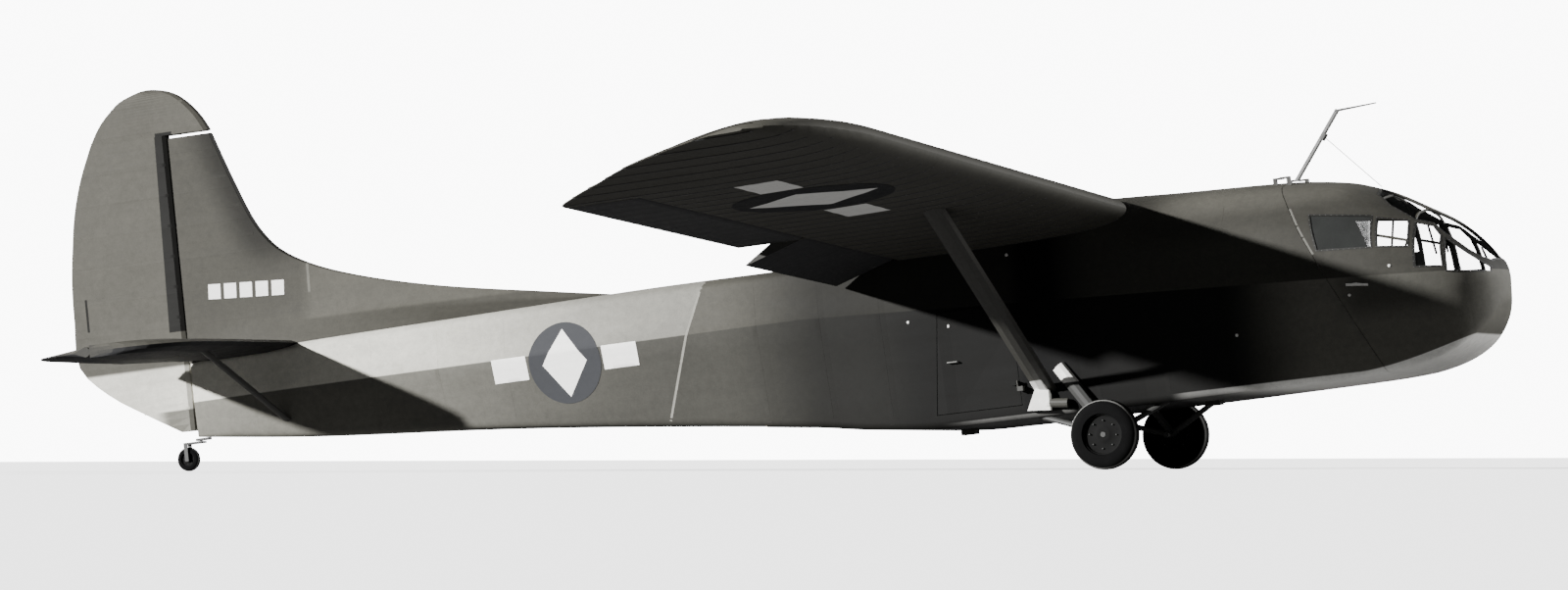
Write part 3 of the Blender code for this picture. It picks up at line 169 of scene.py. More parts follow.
# Edge of the pale rear covering: its x at z = 0, and how far it leans forward with height
REAR_EDGE_X = -0.871
REAR_EDGE_LEAN = 0.41
# Pale strip low on the flank: its top at the rear, and where and how steeply it rises under the nose
BELLY_STRIP_Z = 0.070
BELLY_STRIP_X = 6.25
BELLY_STRIP_RISE = 0.23
# Fin: its leading edge at the top, how it runs down, and its top
FIN_LEAD_X = -5.56
FIN_TOP_Z = 3.87
FIN_LEAD_RUN = 0.38
# Painted shade in the hinge gap between the fin and the rudder: x at z = 0, lean, half width, foot and top
HINGE_SHADE_X = -6.160
HINGE_SHADE_LEAN = 0.023
HINGE_SHADE_HALF = 0.090
HINGE_SHADE_Z = (1.93, 3.93)
TRIM_TAB_X = -7.12
TRIM_TAB_Z = (2.04, 2.36)
FIN_SEAM_X = -4.63

# Side marking: centre, radius, and the blocks beside it
SIDE_MARK = (-1.73, 1.09)
SIDE_MARK_R = 0.395
SIDE_BLOCK = (0.42, 0.80, 0.115)
# Wing marking: centre x and y, radius, and its blocks
WING_MARK = (2.90, 5.90)
WING_MARK_R = 0.72
WING_BLOCK = (0.78, 1.42, 0.20)
# Row of blocks on the fin: first corner, width, gap, height, and how much the row falls in the hull frame
FIN_BLOCK_AT = (-5.74, 2.205)
FIN_BLOCK = (0.135, 0.040, 0.150)
FIN_BLOCK_FALL = -0.061

# Nose windows in side view, hull x and z, from the rear side window forwards
WINDOWS = (
    ((5.98, 1.24), (6.48, 1.212), (6.47, 1.50), (5.91, 1.57)),
    ((6.54, 1.21), (6.81, 1.18), (6.79, 1.42), (6.53, 1.47)),
    ((6.87, 0.985), (7.10, 0.965), (7.07, 1.25), (7.00, 1.345), (6.86, 1.39)),
    ((7.14, 0.915), (7.455, 0.882), (7.455, 0.915), (7.12, 1.215)),
)
# The left side's second window reaches lower than the right side's
LOW_WINDOW = ((6.505, 0.995), (6.81, 0.98), (6.79, 1.42), (6.53, 1.47))
# Left half of the windshield in plan, hull x and y, and the height down to which its hole is cut
WINDSHIELD = (
    (6.42, 0.014), (6.48, 0.38), (6.62, 0.51), (6.85, 0.535), (7.00, 0.455), (7.10, 0.50), (7.20, 0.49),
    (7.30, 0.46), (7.39, 0.395), (7.45, 0.27), (7.475, 0.014),
)
WINDSHIELD_LOW_Z = 0.94

SIDES = ((1, "left"), (-1, "right"))
# Small pale caps on the flanks: hull x and z for each body
CAPS = {
    "nose": ((6.642, 1.012), (6.244, 0.785)),
    "airframe": ((5.126, 0.543), (2.972, 1.561), (1.924, 1.044)),
    "door_SIDE": ((2.322, 0.959),),
}
# Step plate on the nose, and the door's handle
STEP = ((6.225, 0.872), (6.432, 0.850), (6.432, 0.872), (6.225, 0.896))
DOOR_HANDLE = (2.32, 0.62)
# Stations of the tube frames inside the bay and the nose
BAY_FRAMES = (0.55, 1.30, 2.05, 3.00, 3.80, 4.60, 5.40)
NOSE_FRAMES = (6.52, 6.84)
# Posts behind the nose windows: lower and upper end in side view
POSTS = (
    ((6.66, 1.17), (6.655, 1.45)),
    ((6.78, 1.17), (6.83, 1.43)),
    ((6.85, 1.17), (6.78, 1.43)),
    ((7.24, 0.91), (7.17, 1.16)),
)
# Dials on the panel's rear face: y, z and radius
DIAL_X = 7.0195
DIALS = (
    (-0.26, 0.75, 0.040), (-0.15, 0.75, 0.052), (0.00, 0.76, 0.052), (0.15, 0.75, 0.052), (0.26, 0.75, 0.040),
)
# Pale edge of the nose seam: x at z = 0, lower and upper z
SEAM_TAPE = (6.535, 1.20, 1.66)
# Pale cuff at the wing strut's foot and pale sleeve of the gear's strut, painted light where the sun reaches
# them: lower rear and upper front corners
PALE_CUFF = ((3.00, 0.03), (3.24, 0.335))
PALE_SLEEVE = ((3.30, 0.30), (3.62, 0.50))
# Tapes over the formers: x, lowest and highest z
FORMERS = (
    (-5.30, 0.84, 1.58),
    (-4.60, 0.76, 1.62),
    (-3.90, 0.72, 1.63),
    (-3.15, 0.65, 1.65),
    (-2.40, 0.58, 1.66),
    (0.34, 0.27, 1.70),
    (1.00, 0.17, 1.68),
    (1.62, 0.10, 1.62),
    (3.72, 0.06, 1.58),
    (4.40, 0.06, 1.86),
    (5.05, 0.06, 1.84),
)
# Rib tapes of the other surfaces: node, body, whether it is upright, first and last place, and how many
TAPED = (
    ("rudder", "rudder", True, 1.15, 4.22, 11),
    ("fin_skin", "airframe", True, 2.50, 3.72, 5),
    ("stabiliser", "airframe", False, -2.55, 2.55, 18),
    ("elevator_left", "elevators", False, 0.22, 2.60, 9),
    ("elevator_right", "elevators", False, -0.22, -2.60, 9),
    ("aileron_left", "aileron_left", False, 3.50, 7.38, 14),
    ("aileron_right", "aileron_right", False, -3.50, -7.38, 14),
    ("flap_left", "flap_left", False, 1.06, 3.32, 8),
    ("flap_right", "flap_right", False, -1.06, -3.32, 8),
)


class PaintSettings(bpy.types.PropertyGroup):
    """Colours of the finishes."""

    olive: FloatVectorProperty(
        name="Olive", description="Doped fabric of the tail", subtype="COLOR", default=(0.052, 0.050, 0.042))
    # The shoulder is lighter than the side in part as painted light on the upper facets, which face the sun
    shoulder: FloatVectorProperty(
        name="Shoulder", description="Upper sides and roof", subtype="COLOR", default=(0.054, 0.052, 0.044))
    side: FloatVectorProperty(
        name="Side", description="Lower sides", subtype="COLOR", default=(0.036, 0.035, 0.030))
    # The rear's pale and worn colours are lighter than the olive ahead in part as a painted sheen of the sun;
    # the pale upper facets carry most of it
    pale: FloatVectorProperty(
        name="Pale rear and sheen", description="Upper sides of the rear", subtype="COLOR", default=(0.44, 0.43, 0.38))
    worn: FloatVectorProperty(
        name="Lower rear and sheen", description="Lower sides of the rear", subtype="COLOR", default=(0.105, 0.102, 0.088))
    # The belly is a pale underside paint, made paler still as painted light so the strip stays light in the
    # wing's shade
    belly: FloatVectorProperty(
        name="Belly", description="Belly of the fuselage", subtype="COLOR", default=(0.82, 0.81, 0.77))
    # The wings' grey is darker than their real grey: a painted shade under the wings
    grey: FloatVectorProperty(
        name="Grey", description="Undersides of the wings", subtype="COLOR", default=(0.032, 0.032, 0.033))
    marking_dark: FloatVectorProperty(
        name="Dark marking", description="Discs of the markings", subtype="COLOR",
        default=(0.030, 0.031, 0.034))
    marking_light: FloatVectorProperty(
        name="Light marking", description="Pale marks", subtype="COLOR", default=(0.80, 0.79, 0.76))
    metal: FloatVectorProperty(
        name="Gear metal", description="Painted steel tube", subtype="COLOR", default=(0.055, 0.055, 0.052))
    lining: FloatVectorProperty(
        name="Lining", description="Inside of the fabric", subtype="COLOR", default=(0.10, 0.095, 0.075))
    plywood: FloatVectorProperty(
        name="Plywood", description="Floors and the bulkhead", subtype="COLOR", default=(0.26, 0.18, 0.10))
    bench: FloatVectorProperty(
        name="Bench planks", description="Benches", subtype="COLOR", default=(0.30, 0.22, 0.13))
    # Rubber this dark is in part a painted shade, the wing's shadow over the main wheels
    rubber: FloatVectorProperty(
        name="Rubber", description="Tyres", subtype="COLOR", default=(0.0025, 0.0025, 0.0025))


class FabricSettings(bpy.types.PropertyGroup):
    """Sizes of the fabric covering."""

    rib_spacing: FloatProperty(
        name="Rib spacing", description="Distance between wing ribs", default=0.305, unit="LENGTH")
    sag: FloatProperty(
        name="Sag", description="How far the fabric sinks between ribs", default=0.004, unit="LENGTH")
    tape_width: FloatProperty(
        name="Tape width", description="Width of a rib tape", default=0.045, unit="LENGTH")
    tape_height: FloatProperty(
        name="Tape height", description="Height of a tape", default=0.0016, unit="LENGTH")
    chord_steps: IntProperty(name="Chord steps", description="Points along each wing surface", default=26)
    ring_step: FloatProperty(
        name="Ring step", description="Distance between the hull skin's rings", default=0.11, unit="LENGTH")
    nose_step: FloatProperty(
        name="Nose step", description="Distance between the nose skin's rings", default=0.04, unit="LENGTH")
    wall: FloatProperty(name="Wall", description="Depth of the hull's wall", default=0.030, unit="LENGTH")


class GlazingSettings(bpy.types.PropertyGroup):
    """Sizes of the nose glazing."""

    pane_depth: FloatProperty(
        name="Pane depth", description="How far the panes lie inside the skin", default=0.010, unit="LENGTH")
    pane_thick: FloatProperty(
        name="Pane thickness", description="Thickness of a pane", default=0.003, unit="LENGTH")
    frame_width: FloatProperty(
        name="Frame width", description="Width of a window frame", default=0.018, unit="LENGTH")
    screw_pitch: FloatProperty(
        name="Screw pitch", description="Distance between frame screws", default=0.055, unit="LENGTH")


class WheelSettings(bpy.types.PropertyGroup):
    """Details of the wheels."""

    steps: IntProperty(name="Steps", description="Turned steps of a tyre", default=96)
    bolts: IntProperty(name="Bolts", description="Bolts on a wheel disc", default=8)


class StageSettings(bpy.types.PropertyGroup):
    """Floor, light and camera."""

    floor_size: FloatProperty(
        name="Floor size", description="Side of the floor", default=600.0, unit="LENGTH")
    distance: FloatProperty(name="Distance", description="Camera to target", default=65.0, unit="LENGTH")
    azimuth: FloatProperty(
        name="Azimuth", description="Camera direction", default=math.radians(20.524), unit="ROTATION")
    roll: FloatProperty(
        name="Roll", description="Camera roll", default=math.radians(-0.153), unit="ROTATION")
    height: FloatProperty(name="Height", description="Camera above the floor", default=0.12, unit="LENGTH")
    target_x: FloatProperty(
        name="Target X", description="What the camera looks at", default=0.234, unit="LENGTH")
    target_z: FloatProperty(
        name="Target Z", description="What the camera looks at", default=1.698, unit="LENGTH")
    focal_pixels: FloatProperty(
        name="Focal length", description="In pixels of a 1600 px wide image", default=6840.0)
    key_strength: FloatProperty(name="Key", description="Strength of the key light", default=16.0)
    key_softness: FloatProperty(
        name="Key softness", description="How wide the key light is",
        default=math.radians(2.0), unit="ROTATION")
    key_way: FloatVectorProperty(
        name="Key way", description="Where the key light travels, in the hull frame",
        default=(1.0, 1.0, -0.48))
    fill_strength: FloatProperty(name="Fill", description="Strength of the fill light", default=5.0)
    fill_softness: FloatProperty(
        name="Fill softness", description="How wide the fill light is",
        default=math.radians(25.0), unit="ROTATION")
    fill_way: FloatVectorProperty(
        name="Fill way", description="Where the fill light travels, in the hull frame",
        default=(-0.8, -0.75, -0.25))
    room_light: FloatProperty(
        name="Room light", description="Strength of the light all round", default=0.085)
    floor_glow: FloatProperty(
        name="Floor glow", description="Brightness the floor shows by itself", default=1.6)
    floor_bounce: FloatProperty(
        name="Floor bounce", description="Share of light the floor throws back", default=0.18)
    backdrop_light: FloatProperty(name="Backdrop", description="Brightness of the backdrop", default=10.0)


def at(x, y, z):
    """Scene point of a hull-frame point."""
    return Vector((
        x * math.cos(PITCH) - z * math.sin(PITCH) + DATUM_X,
        y,
        x * math.sin(PITCH) + z * math.cos(PITCH) + DATUM_Z,
    ))


def to_scene():
    """The hull frame's place in the scene."""
    return Matrix.Translation((DATUM_X, 0.0, DATUM_Z)) @ Matrix.Rotation(-PITCH, 4, "Y")


def turned(x, y, z):
    """Scene direction of a hull-frame direction."""
    return at(x, y, z) - at(0, 0, 0)


def arithmetic(operation, reflected=False):
    """A method that adds a Math node; a reflected one takes the other value first."""
    def run(self, *others):
        values = [*others, self] if reflected else [self, *others]
        return self.sheet.add("ShaderNodeMath", {"operation": operation}, dict(enumerate(values)))
    return run


class Wire:
    """A number socket whose arithmetic adds Math nodes."""

    def __init__(self, sheet, socket):
        self.sheet = sheet
        self.socket = socket

    __add__ = __radd__ = arithmetic("ADD")
    __mul__ = __rmul__ = arithmetic("MULTIPLY")
    __sub__ = arithmetic("SUBTRACT")
    __rsub__ = arithmetic("SUBTRACT", reflected=True)
    power = arithmetic("POWER")
    absolute = arithmetic("ABSOLUTE")
    sine = arithmetic("SINE")
    most = arithmetic("MAXIMUM")

    def smooth(self, low, high, start=0.0, end=1.0):
        """Runs smoothly from start to end as the number goes from low to high."""
        settings = {"interpolation_type": "SMOOTHSTEP"}
        return self.sheet.add("ShaderNodeMapRange", settings, {0: self, 1: low, 2: high, 3: start, 4: end})

    def fades(self, low, high):
        """Runs smoothly from 1 to 0 as the number goes from low to high."""
        return self.smooth(low, high, 1.0, 0.0)

    def past(self, edge):
        """0 before a painted edge and 1 past it."""
        return self.smooth(edge - PAINT_EDGE, edge + PAINT_EDGE)

    def within(self, low, high, soft=0.01):
        """1 from low to high, 0 outside."""
        return self.smooth(low - soft, low) * self.fades(high, high + soft)

    def near(self, centre, half, soft=0.01):
        """1 within half of centre, 0 outside."""
        return (self - centre).absolute().fades(half, half + soft)


class Sheet:
    """One material's nodes."""

    def __init__(self, name):
        self.material = bpy.data.materials.new(name)
        self.material.use_nodes = True
        self.tree = self.material.node_tree
        self.shader = self.tree.nodes["Principled BSDF"]

    def add(self, kind, settings=None, values=None, out=0):
        """Adds a node with its settings and its sockets' values or links; returns one of its outputs."""
        made = self.tree.nodes.new(kind)
        for key, value in (settings or {}).items():
            setattr(made, key, value)
        for key, value in (values or {}).items():
            self.feed(made.inputs[key], value)
        return Wire(self, made.outputs[out])

    def feed(self, socket, value):
        """Links a wire to a socket, or sets the socket's own value; a colour needs no alpha."""
        if isinstance(value, Wire):
            self.tree.links.new(value.socket, socket)
        elif socket.type == "RGBA":
            socket.default_value = (*value[:3], 1.0)
        else:
            socket.default_value = value

    def place(self):
        """Object coordinates, which are scene coordinates at rest."""
        return self.add("ShaderNodeTexCoord", out="Object")

    def hull_place(self):
        """Object coordinates turned into the hull frame."""
        return self.add(
            "ShaderNodeMapping", {"vector_type": "TEXTURE"},
            {"Vector": self.place(), "Location": (DATUM_X, 0.0, DATUM_Z), "Rotation": (0.0, -PITCH, 0.0)})

    def parts(self, vector):
        """X, Y and Z of a vector."""
        split = self.add("ShaderNodeSeparateXYZ", None, {0: vector})
        return [Wire(self, output) for output in split.socket.node.outputs]

    def noise(self, vector, scale, detail=3.0, roughness=0.5, stretch=None):
        """Noise value, its pattern stretched along an axis where stretch gives a scale for each."""
        if stretch:
            vector = self.add("ShaderNodeVectorMath", {"operation": "MULTIPLY"}, {0: vector, 1: stretch})
        return self.add(
            "ShaderNodeTexNoise", None,
            {"Vector": vector, "Scale": scale, "Detail": detail, "Roughness": roughness})

    def mix(self, factor, one, other):
        """Colour between one and other."""
        return self.add("ShaderNodeMix", {"data_type": "RGBA"}, {0: factor, 6: one, 7: other}, 2)

    def shaded(self, colour, amount):
        """Colour multiplied by a number."""
        colour = colour if isinstance(colour, Wire) else tuple(colour)
        return self.add("ShaderNodeVectorMath", {"operation": "SCALE"}, {0: colour, 3: amount})

    def bump(self, height, strength, distance, below=None):
        values = {"Height": height, "Strength": strength, "Distance": distance}
        if below is not None:
            values["Normal"] = below
        return self.add("ShaderNodeBump", None, values)

    def finish(self, colour, roughness=0.6, normal=None, metallic=0.0, **others):
        """Feeds the shader's sockets, the others by name, and returns the material."""
        values = {"Base Color": colour, "Roughness": roughness, "Normal": normal, "Metallic": metallic}
        values.update({key.replace("_", " "): value for key, value in others.items()})
        for key, value in values.items():
            if value is not None:
                self.feed(self.shader.inputs[key], value)
        return self.material


def scaled(colour, amount):
    return tuple(channel * amount for channel in colour[:3])


def weave(sheet):
    """Height of a plain weave, soft and fine."""
    x, y, z = sheet.parts(sheet.place())
    return (x * WEAVE_SCALE).sine() * (z * WEAVE_SCALE).sine() + (y * WEAVE_SCALE).sine()


def rib_sag(value, spacing):
    """Height of fabric that sinks between ribs."""
    return 1.0 - (value * (math.pi / spacing)).sine().absolute().power(0.5)


def fabric_base(sheet, place, colour):
    """Doped fabric's colour with brush marks, dirt and slow fading."""
    slow = sheet.noise(place, 0.9, 4.0, 0.6)
    streaks = sheet.noise(place, 3.0, 5.0, 0.6, (0.35, 1.0, 2.6))
    mottle = sheet.noise(place, 16.0, 4.0, 0.7)
    specks = sheet.noise(place, 70.0, 2.0, 0.7)
    amount = 0.24 + slow * 0.40 + streaks * 0.34 + mottle * 0.50 + specks * 0.30
    return sheet.shaded(colour, amount), streaks


def fabric_finish(sheet, place, colour, sag=None):
    """Fabric with its weave, and with its sag between ribs where that is given."""
    colour, streaks = fabric_base(sheet, place, colour)
    normal = sheet.bump(weave(sheet), 0.10, 0.0004)
    if sag is not None:
        normal = sheet.bump(sag, 0.35, 0.006, normal)
    return sheet.finish(colour, 0.66 + streaks * 0.14, normal, Specular_IOR_Level=0.12)


def hull_fabric(paint, name):
    """Fabric of the fuselage: a pale rear, lighter above the side crease, and dark flanks ahead of it, in
    part painted light and shade.
    """
    sheet = Sheet(name)
    place = sheet.hull_place()
    x, _, z = sheet.parts(place)
    # Covering edges: above the side crease, behind the pale covering's edge, and below the belly strip's top
    upper = (z + (x - CREASE_DROP_X).most(0.0) * CREASE_DROP).past(CREASE_Z)
    rear = (x - z * REAR_EDGE_LEAN).fades(REAR_EDGE_X - PAINT_EDGE, REAR_EDGE_X + PAINT_EDGE)
    rise = (x - BELLY_STRIP_X).most(0.0).power(1.6) * BELLY_STRIP_RISE
    strip = (z - rise).fades(BELLY_STRIP_Z - PAINT_EDGE, BELLY_STRIP_Z + PAINT_EDGE) * x.smooth(4.4, 4.6)
    foot = z.fades(0.045, 0.055) * x.smooth(2.1, 2.6) * x.fades(3.4, 3.5)
    # Painted shade of the wing: darker behind the door and at it, and a painted wing shadow round the gear;
    # masks below the windows, of the roof under the wing, and of the nose
    wing_shade = x.smooth(-0.3, 1.1) * x.fades(3.0, 3.9)
    door = x.smooth(1.3, 2.1)
    painted_shade = x.smooth(2.90, 3.05) * x.fades(5.0, 6.0)
    window = x.smooth(6.0, 6.4) * z.smooth(0.45, 0.75) * x.fades(7.1, 7.4)
    roof = z.smooth(1.60, 1.86) * x.smooth(4.2, 4.9)
    front = x.smooth(6.0, 6.7)
    # Pale rear: lighter than the olive ahead in part as a painted sheen, both tones darker towards the front
    towards_front = x.smooth(-4.9, -0.5)
    pale_and_sheen = sheet.shaded(paint.pale, 1.06 - towards_front * 0.72)
    worn = sheet.shaded(paint.worn, 1.05 - towards_front * 0.70)
    # Shoulder: painted shade behind the door, darker ahead of x 2.9 below the roof, and darker on the nose's
    # roof
    shoulder = sheet.shaded(
        paint.shoulder,
        1.0 - wing_shade * 0.79 - x.smooth(2.9, 3.3) * 0.50 * (1.0 - roof) - front * roof * 0.25)
    # Flank: painted shade behind the door and at it, painted light ahead of x 3 in the wing's shadow, and the
    # painted wing shadow round the gear
    base = (0.95 + x.smooth(3.0, 4.5) * 1.7 - wing_shade * (0.76 + door * 0.11)) * (1.0 - painted_shade * 0.965)
    # Darker below the windows, and lighter towards the nose tip as painted light from the front
    side = sheet.shaded(paint.side, base * (1.0 - window * 0.5) + x.smooth(6.85, 7.40) * 0.8)
    # Belly strip darker behind x 4.8: a painted shade where the sun reaches it
    belly = sheet.shaded(paint.belly, 0.10 + x.smooth(4.8, 5.6) * 0.90)
    fore = sheet.mix(foot, sheet.mix(upper, side, shoulder), scaled(paint.belly, 0.08))
    colour = sheet.mix(rear, sheet.mix(strip, fore, belly), sheet.mix(upper, worn, pale_and_sheen))
    sag = ((x * (2 * math.pi / FORMER_PITCH)).sine() * 0.5 + 0.5).power(0.35)
    return fabric_finish(sheet, place, colour, sag)


def plain_fabric(name, colour, spacing=None):
    """Fabric of one colour, which sinks between formers where their spacing is given."""
    sheet = Sheet(name)
    place = sheet.hull_place()
    sag = rib_sag(sheet.parts(place)[0], spacing) if spacing else None
    return fabric_finish(sheet, place, colour, sag)


def surface_fabric(paint, name, spacing, painted_shade=1.0):
    """Fabric of a thin flying surface, olive above and grey below, the grey scaled down on the tail as
    painted shade.
    """
    sheet = Sheet(name)
    place = sheet.hull_place()
    up = sheet.parts(sheet.add("ShaderNodeNewGeometry", out="Normal"))[2]
    colour = sheet.mix(up.smooth(-0.05, 0.05), scaled(paint.grey, painted_shade), scaled(paint.olive, 0.9))
    return fabric_finish(sheet, place, colour, rib_sag(sheet.parts(place)[1], spacing))


def fin_fabric(paint, name):
    """Fabric of the fin and its ridge: darker along the leading edge, painted shade low on the ridge, and a
    seam.
    """
    sheet = Sheet(name)
    place = sheet.hull_place()
    x, _, z = sheet.parts(place)
    lead = x + z * FIN_LEAD_RUN - (FIN_LEAD_X + FIN_TOP_Z * FIN_LEAD_RUN)
    dark = lead.smooth(-0.42, -0.02) * z.smooth(2.35, 2.75)
    ridge = x.smooth(-4.75, -4.55)
    # Painted shade low on the ridge's flare, where it slopes up from the deck
    low = ridge * z.fades(1.86, 1.90)
    seam = x.near(FIN_SEAM_X, 0.010, 0.006) * z.smooth(2.14, 2.16)
    colour = sheet.shaded(paint.olive, 0.74 - dark * 0.46 + ridge * 0.34 - low * 0.34)
    colour = sheet.mix(seam * 0.12, colour, paint.pale)
    return fabric_finish(sheet, place, colour, rib_sag(z, FIN_RIB_PITCH))


def rudder_fabric(paint, name):
    """Fabric of the rudder: painted shade in the hinge gap, the trim tab's gap, and a pale foot below the
    tailplane as painted light.
    """
    sheet = Sheet(name)
    place = sheet.hull_place()
    x, _, z = sheet.parts(place)
    # Painted shade: the hinge gap between the fin and the rudder, near black
    gap = (x - z * HINGE_SHADE_LEAN).near(HINGE_SHADE_X, HINGE_SHADE_HALF, 0.008) * z.within(*HINGE_SHADE_Z)
    tab = x.near(TRIM_TAB_X, 0.010, 0.006) * z.within(*TRIM_TAB_Z)
    # Below the tailplane the rear's tones, the pale foot a painted light where the sun reaches it
    below = z.fades(CREASE_Z - 0.07, CREASE_Z - 0.05) * x.smooth(-6.5, -6.3)
    pale = sheet.mix(below, scaled(paint.pale, 0.95), paint.worn)
    colour = sheet.mix(z.fades(1.56, 1.60), paint.olive, pale)
    colour = sheet.mix(gap.most(tab), colour, scaled(paint.side, 0.15))
    return fabric_finish(sheet, place, colour, rib_sag(z, FIN_RIB_PITCH))


def tape_finish(name, colour):
    """Doped tape, a little rougher than the fabric."""
    sheet = Sheet(name)
    place = sheet.place()
    colour, streaks = fabric_base(sheet, place, colour)
    normal = sheet.bump(sheet.noise(place, 260.0, 2.0), 0.25, 0.0006)
    return sheet.finish(colour, 0.62 + streaks * 0.15, normal, Specular_IOR_Level=0.12)


def marking_finish(name, colour):
    """Brushed marking paint, thin and chalky over the fabric."""
    sheet = Sheet(name)
    place = sheet.hull_place()
    wear = sheet.noise(place, 22.0, 5.0, 0.7)
    brush = sheet.noise(place, 8.0, 3.0, 0.6, (0.3, 1.0, 3.0))
    shade = sheet.shaded(colour, 0.80 + wear * 0.22 + brush * 0.14)
    normal = sheet.bump(weave(sheet), 0.10, 0.0004)
    return sheet.finish(shade, 0.68 + brush * 0.12, normal, Specular_IOR_Level=0.12)


def painted_metal(name, colour, roughness=0.45, wear=0.25, pale=None, gloss=0.3):
    """Painted steel with dusty patches, and a pale area between the hull-frame corners that pale gives."""
    sheet = Sheet(name)
    place = sheet.place()
    patches = sheet.noise(place, 14.0, 5.0, 0.65)
    worn = patches.smooth(0.56, 0.70)
    shade = sheet.mix(worn * wear, scaled(colour, 0.92), scaled(colour, 1.9))
    if pale:
        x, _, z = sheet.parts(sheet.hull_place())
        (left, low), (right, high) = pale
        inside = x.within(left, right) * z.within(low, high)
        shade = sheet.mix(inside, shade, sheet.shaded(PALE_PAINT, 0.8 + patches * 0.4))
    normal = sheet.bump(sheet.noise(place, 120.0, 3.0), 0.12, 0.001)
    return sheet.finish(shade, roughness + patches * 0.18, normal, worn * 0.3, Specular_IOR_Level=gloss)


def rubber_finish(paint, name, centre, radius):
    """Black rubber with a pale ring near the tread, dust and a painted sheen on the tyre's shoulder."""
    sheet = Sheet(name)
    place = sheet.place()
    dust = sheet.noise(place, 9.0, 5.0, 0.6)
    x, _, z = sheet.parts(place)
    out = ((x - centre.x).power(2) + (z - centre.z).power(2)).power(0.5)
    # Pale ring near the tread: dust and a painted sheen on the tyre's shoulder
    ring = out.near(radius * 0.962, radius * 0.010, radius * 0.012)
    shade = sheet.mix(dust.smooth(0.45, 0.75) * 0.4, paint.rubber, scaled(paint.rubber, 2.2))
    shade = sheet.mix(ring * (0.4 + dust * 0.6), shade, scaled(paint.belly, 0.22))
    normal = sheet.bump(sheet.noise(place, 180.0, 2.0), 0.2, 0.0008)
    return sheet.finish(shade, 0.82 + dust * 0.12, normal, Specular_IOR_Level=0.04)


def plywood_finish(name, colour):
    """Varnished plywood with long grain and knots."""
    sheet = Sheet(name)
    place = sheet.hull_place()
    grain = sheet.noise(place, 6.0, 6.0, 0.6, (0.6, 9.0, 9.0))
    rings = sheet.noise(place, 1.6, 2.0, 0.5, (0.7, 3.0, 3.0))
    lines = (grain * 9.0 + rings * 14.0).sine() * 0.5 + 0.5
    shade = sheet.mix(lines * 0.7, scaled(colour, 0.72), scaled(colour, 1.2))
    return sheet.finish(shade, 0.50 + grain * 0.2, sheet.bump(lines, 0.15, 0.0008))


def glass_finish(name):
    """Thin clear plastic: light goes straight through most of it, less where the right rear pane is dusty."""
    sheet = Sheet(name)
    place = sheet.place()
    dust = sheet.noise(place, 5.0, 4.0, 0.6)
    dust_fine = sheet.noise(place, 60.0, 2.0, 0.6)
    x, y, _ = sheet.parts(sheet.hull_place())
    rear = x.fades(6.45, 6.53) * y.fades(-0.3, -0.1)
    alpha = 0.06 + dust.smooth(0.5, 0.8) * 0.06 + dust_fine * 0.03 + rear * (0.45 + dust * 0.5)
    return sheet.finish((0.022, 0.023, 0.022), 0.06 + dust * 0.06, Specular_IOR_Level=0.4, Alpha=alpha)


def new_piece(name, mesh, material, body, smooth=30.0):
    """A finished piece at the origin that rides on a body."""
    made = bpy.data.objects.new(name, mesh)
    bpy.context.scene.collection.objects.link(made)
    mesh.materials.clear()
    for entry in material if isinstance(material, (list, tuple)) else [material]:
        mesh.materials.append(entry)
    if smooth is not None:
        mesh.shade_smooth()
        mesh.set_sharp_from_angle(angle=math.radians(smooth))
    if body:
        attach(made, body)
    return made


def mesh_from(form, name, recalc=True):
    """The mesh of a form, which is then freed."""
    if recalc:
        bmesh.ops.recalc_face_normals(form, faces=form.faces)
    mesh = bpy.data.meshes.new(name)
    form.to_mesh(mesh)
    form.free()
    return mesh


def evaluated(owner):
    """The mesh of an object with its modifiers."""
    depsgraph = bpy.context.evaluated_depsgraph_get()
    return bpy.data.meshes.new_from_object(owner.evaluated_get(depsgraph))


def loose_object(mesh, name):
    made = bpy.data.objects.new(name, mesh)
    bpy.context.scene.collection.objects.link(made)
    return made


def baked(owner):
    """The evaluated mesh of an object, which is then removed."""
    mesh = evaluated(owner)
    bpy.data.objects.remove(owner)
    return mesh


def ring_loft(form, rings):
    """A closed body through rings of equally many points."""
    rows = [[form.verts.new(point) for point in ring] for ring in rings]
    count = len(rows[0])
    for near, far in zip(rows, rows[1:]):
        for step in range(count):
            after = (step + 1) % count
            form.faces.new((near[step], near[after], far[after], far[step]))
    form.faces.new(reversed(rows[0]))
    form.faces.new(rows[-1])


def circle(centre, side, other, radius, steps):
    """Points round a circle in the plane of two directions."""
    turns = (2 * math.pi * step / steps for step in range(steps))
    return [centre + (side * math.cos(turn) + other * math.sin(turn)) * radius for turn in turns]


def tube(form, points, radius, sides=10):
    """A round bar along a path of scene points."""
    rings = []
    for index, point in enumerate(points):
        run = (points[min(index + 1, len(points) - 1)] - points[max(index - 1, 0)]).normalized()
        side = run.orthogonal().normalized() if index == 0 else (side - run * side.dot(run)).normalized()
        rings.append(circle(point, side, run.cross(side), radius, sides))
    ring_loft(form, rings)


def lathe(form, profile, centre, axis, steps, closed=True):
    """A profile of radius, offset points turned about an axis; the offset runs along the axis."""
    axis = Vector(axis).normalized()
    side = axis.orthogonal().normalized()
    other = axis.cross(side)
    rows = []
    for step in range(steps):
        turn = 2 * math.pi * step / steps
        out = side * math.cos(turn) + other * math.sin(turn)
        rows.append([form.verts.new(centre + out * radius + axis * offset) for radius, offset in profile])
    count = len(profile)
    for near, far in zip(rows, rows[1:] + rows[:1]):
        for point in range(count if closed else count - 1):
            after = (point + 1) % count
            form.faces.new((near[point], near[after], far[after], far[point]))


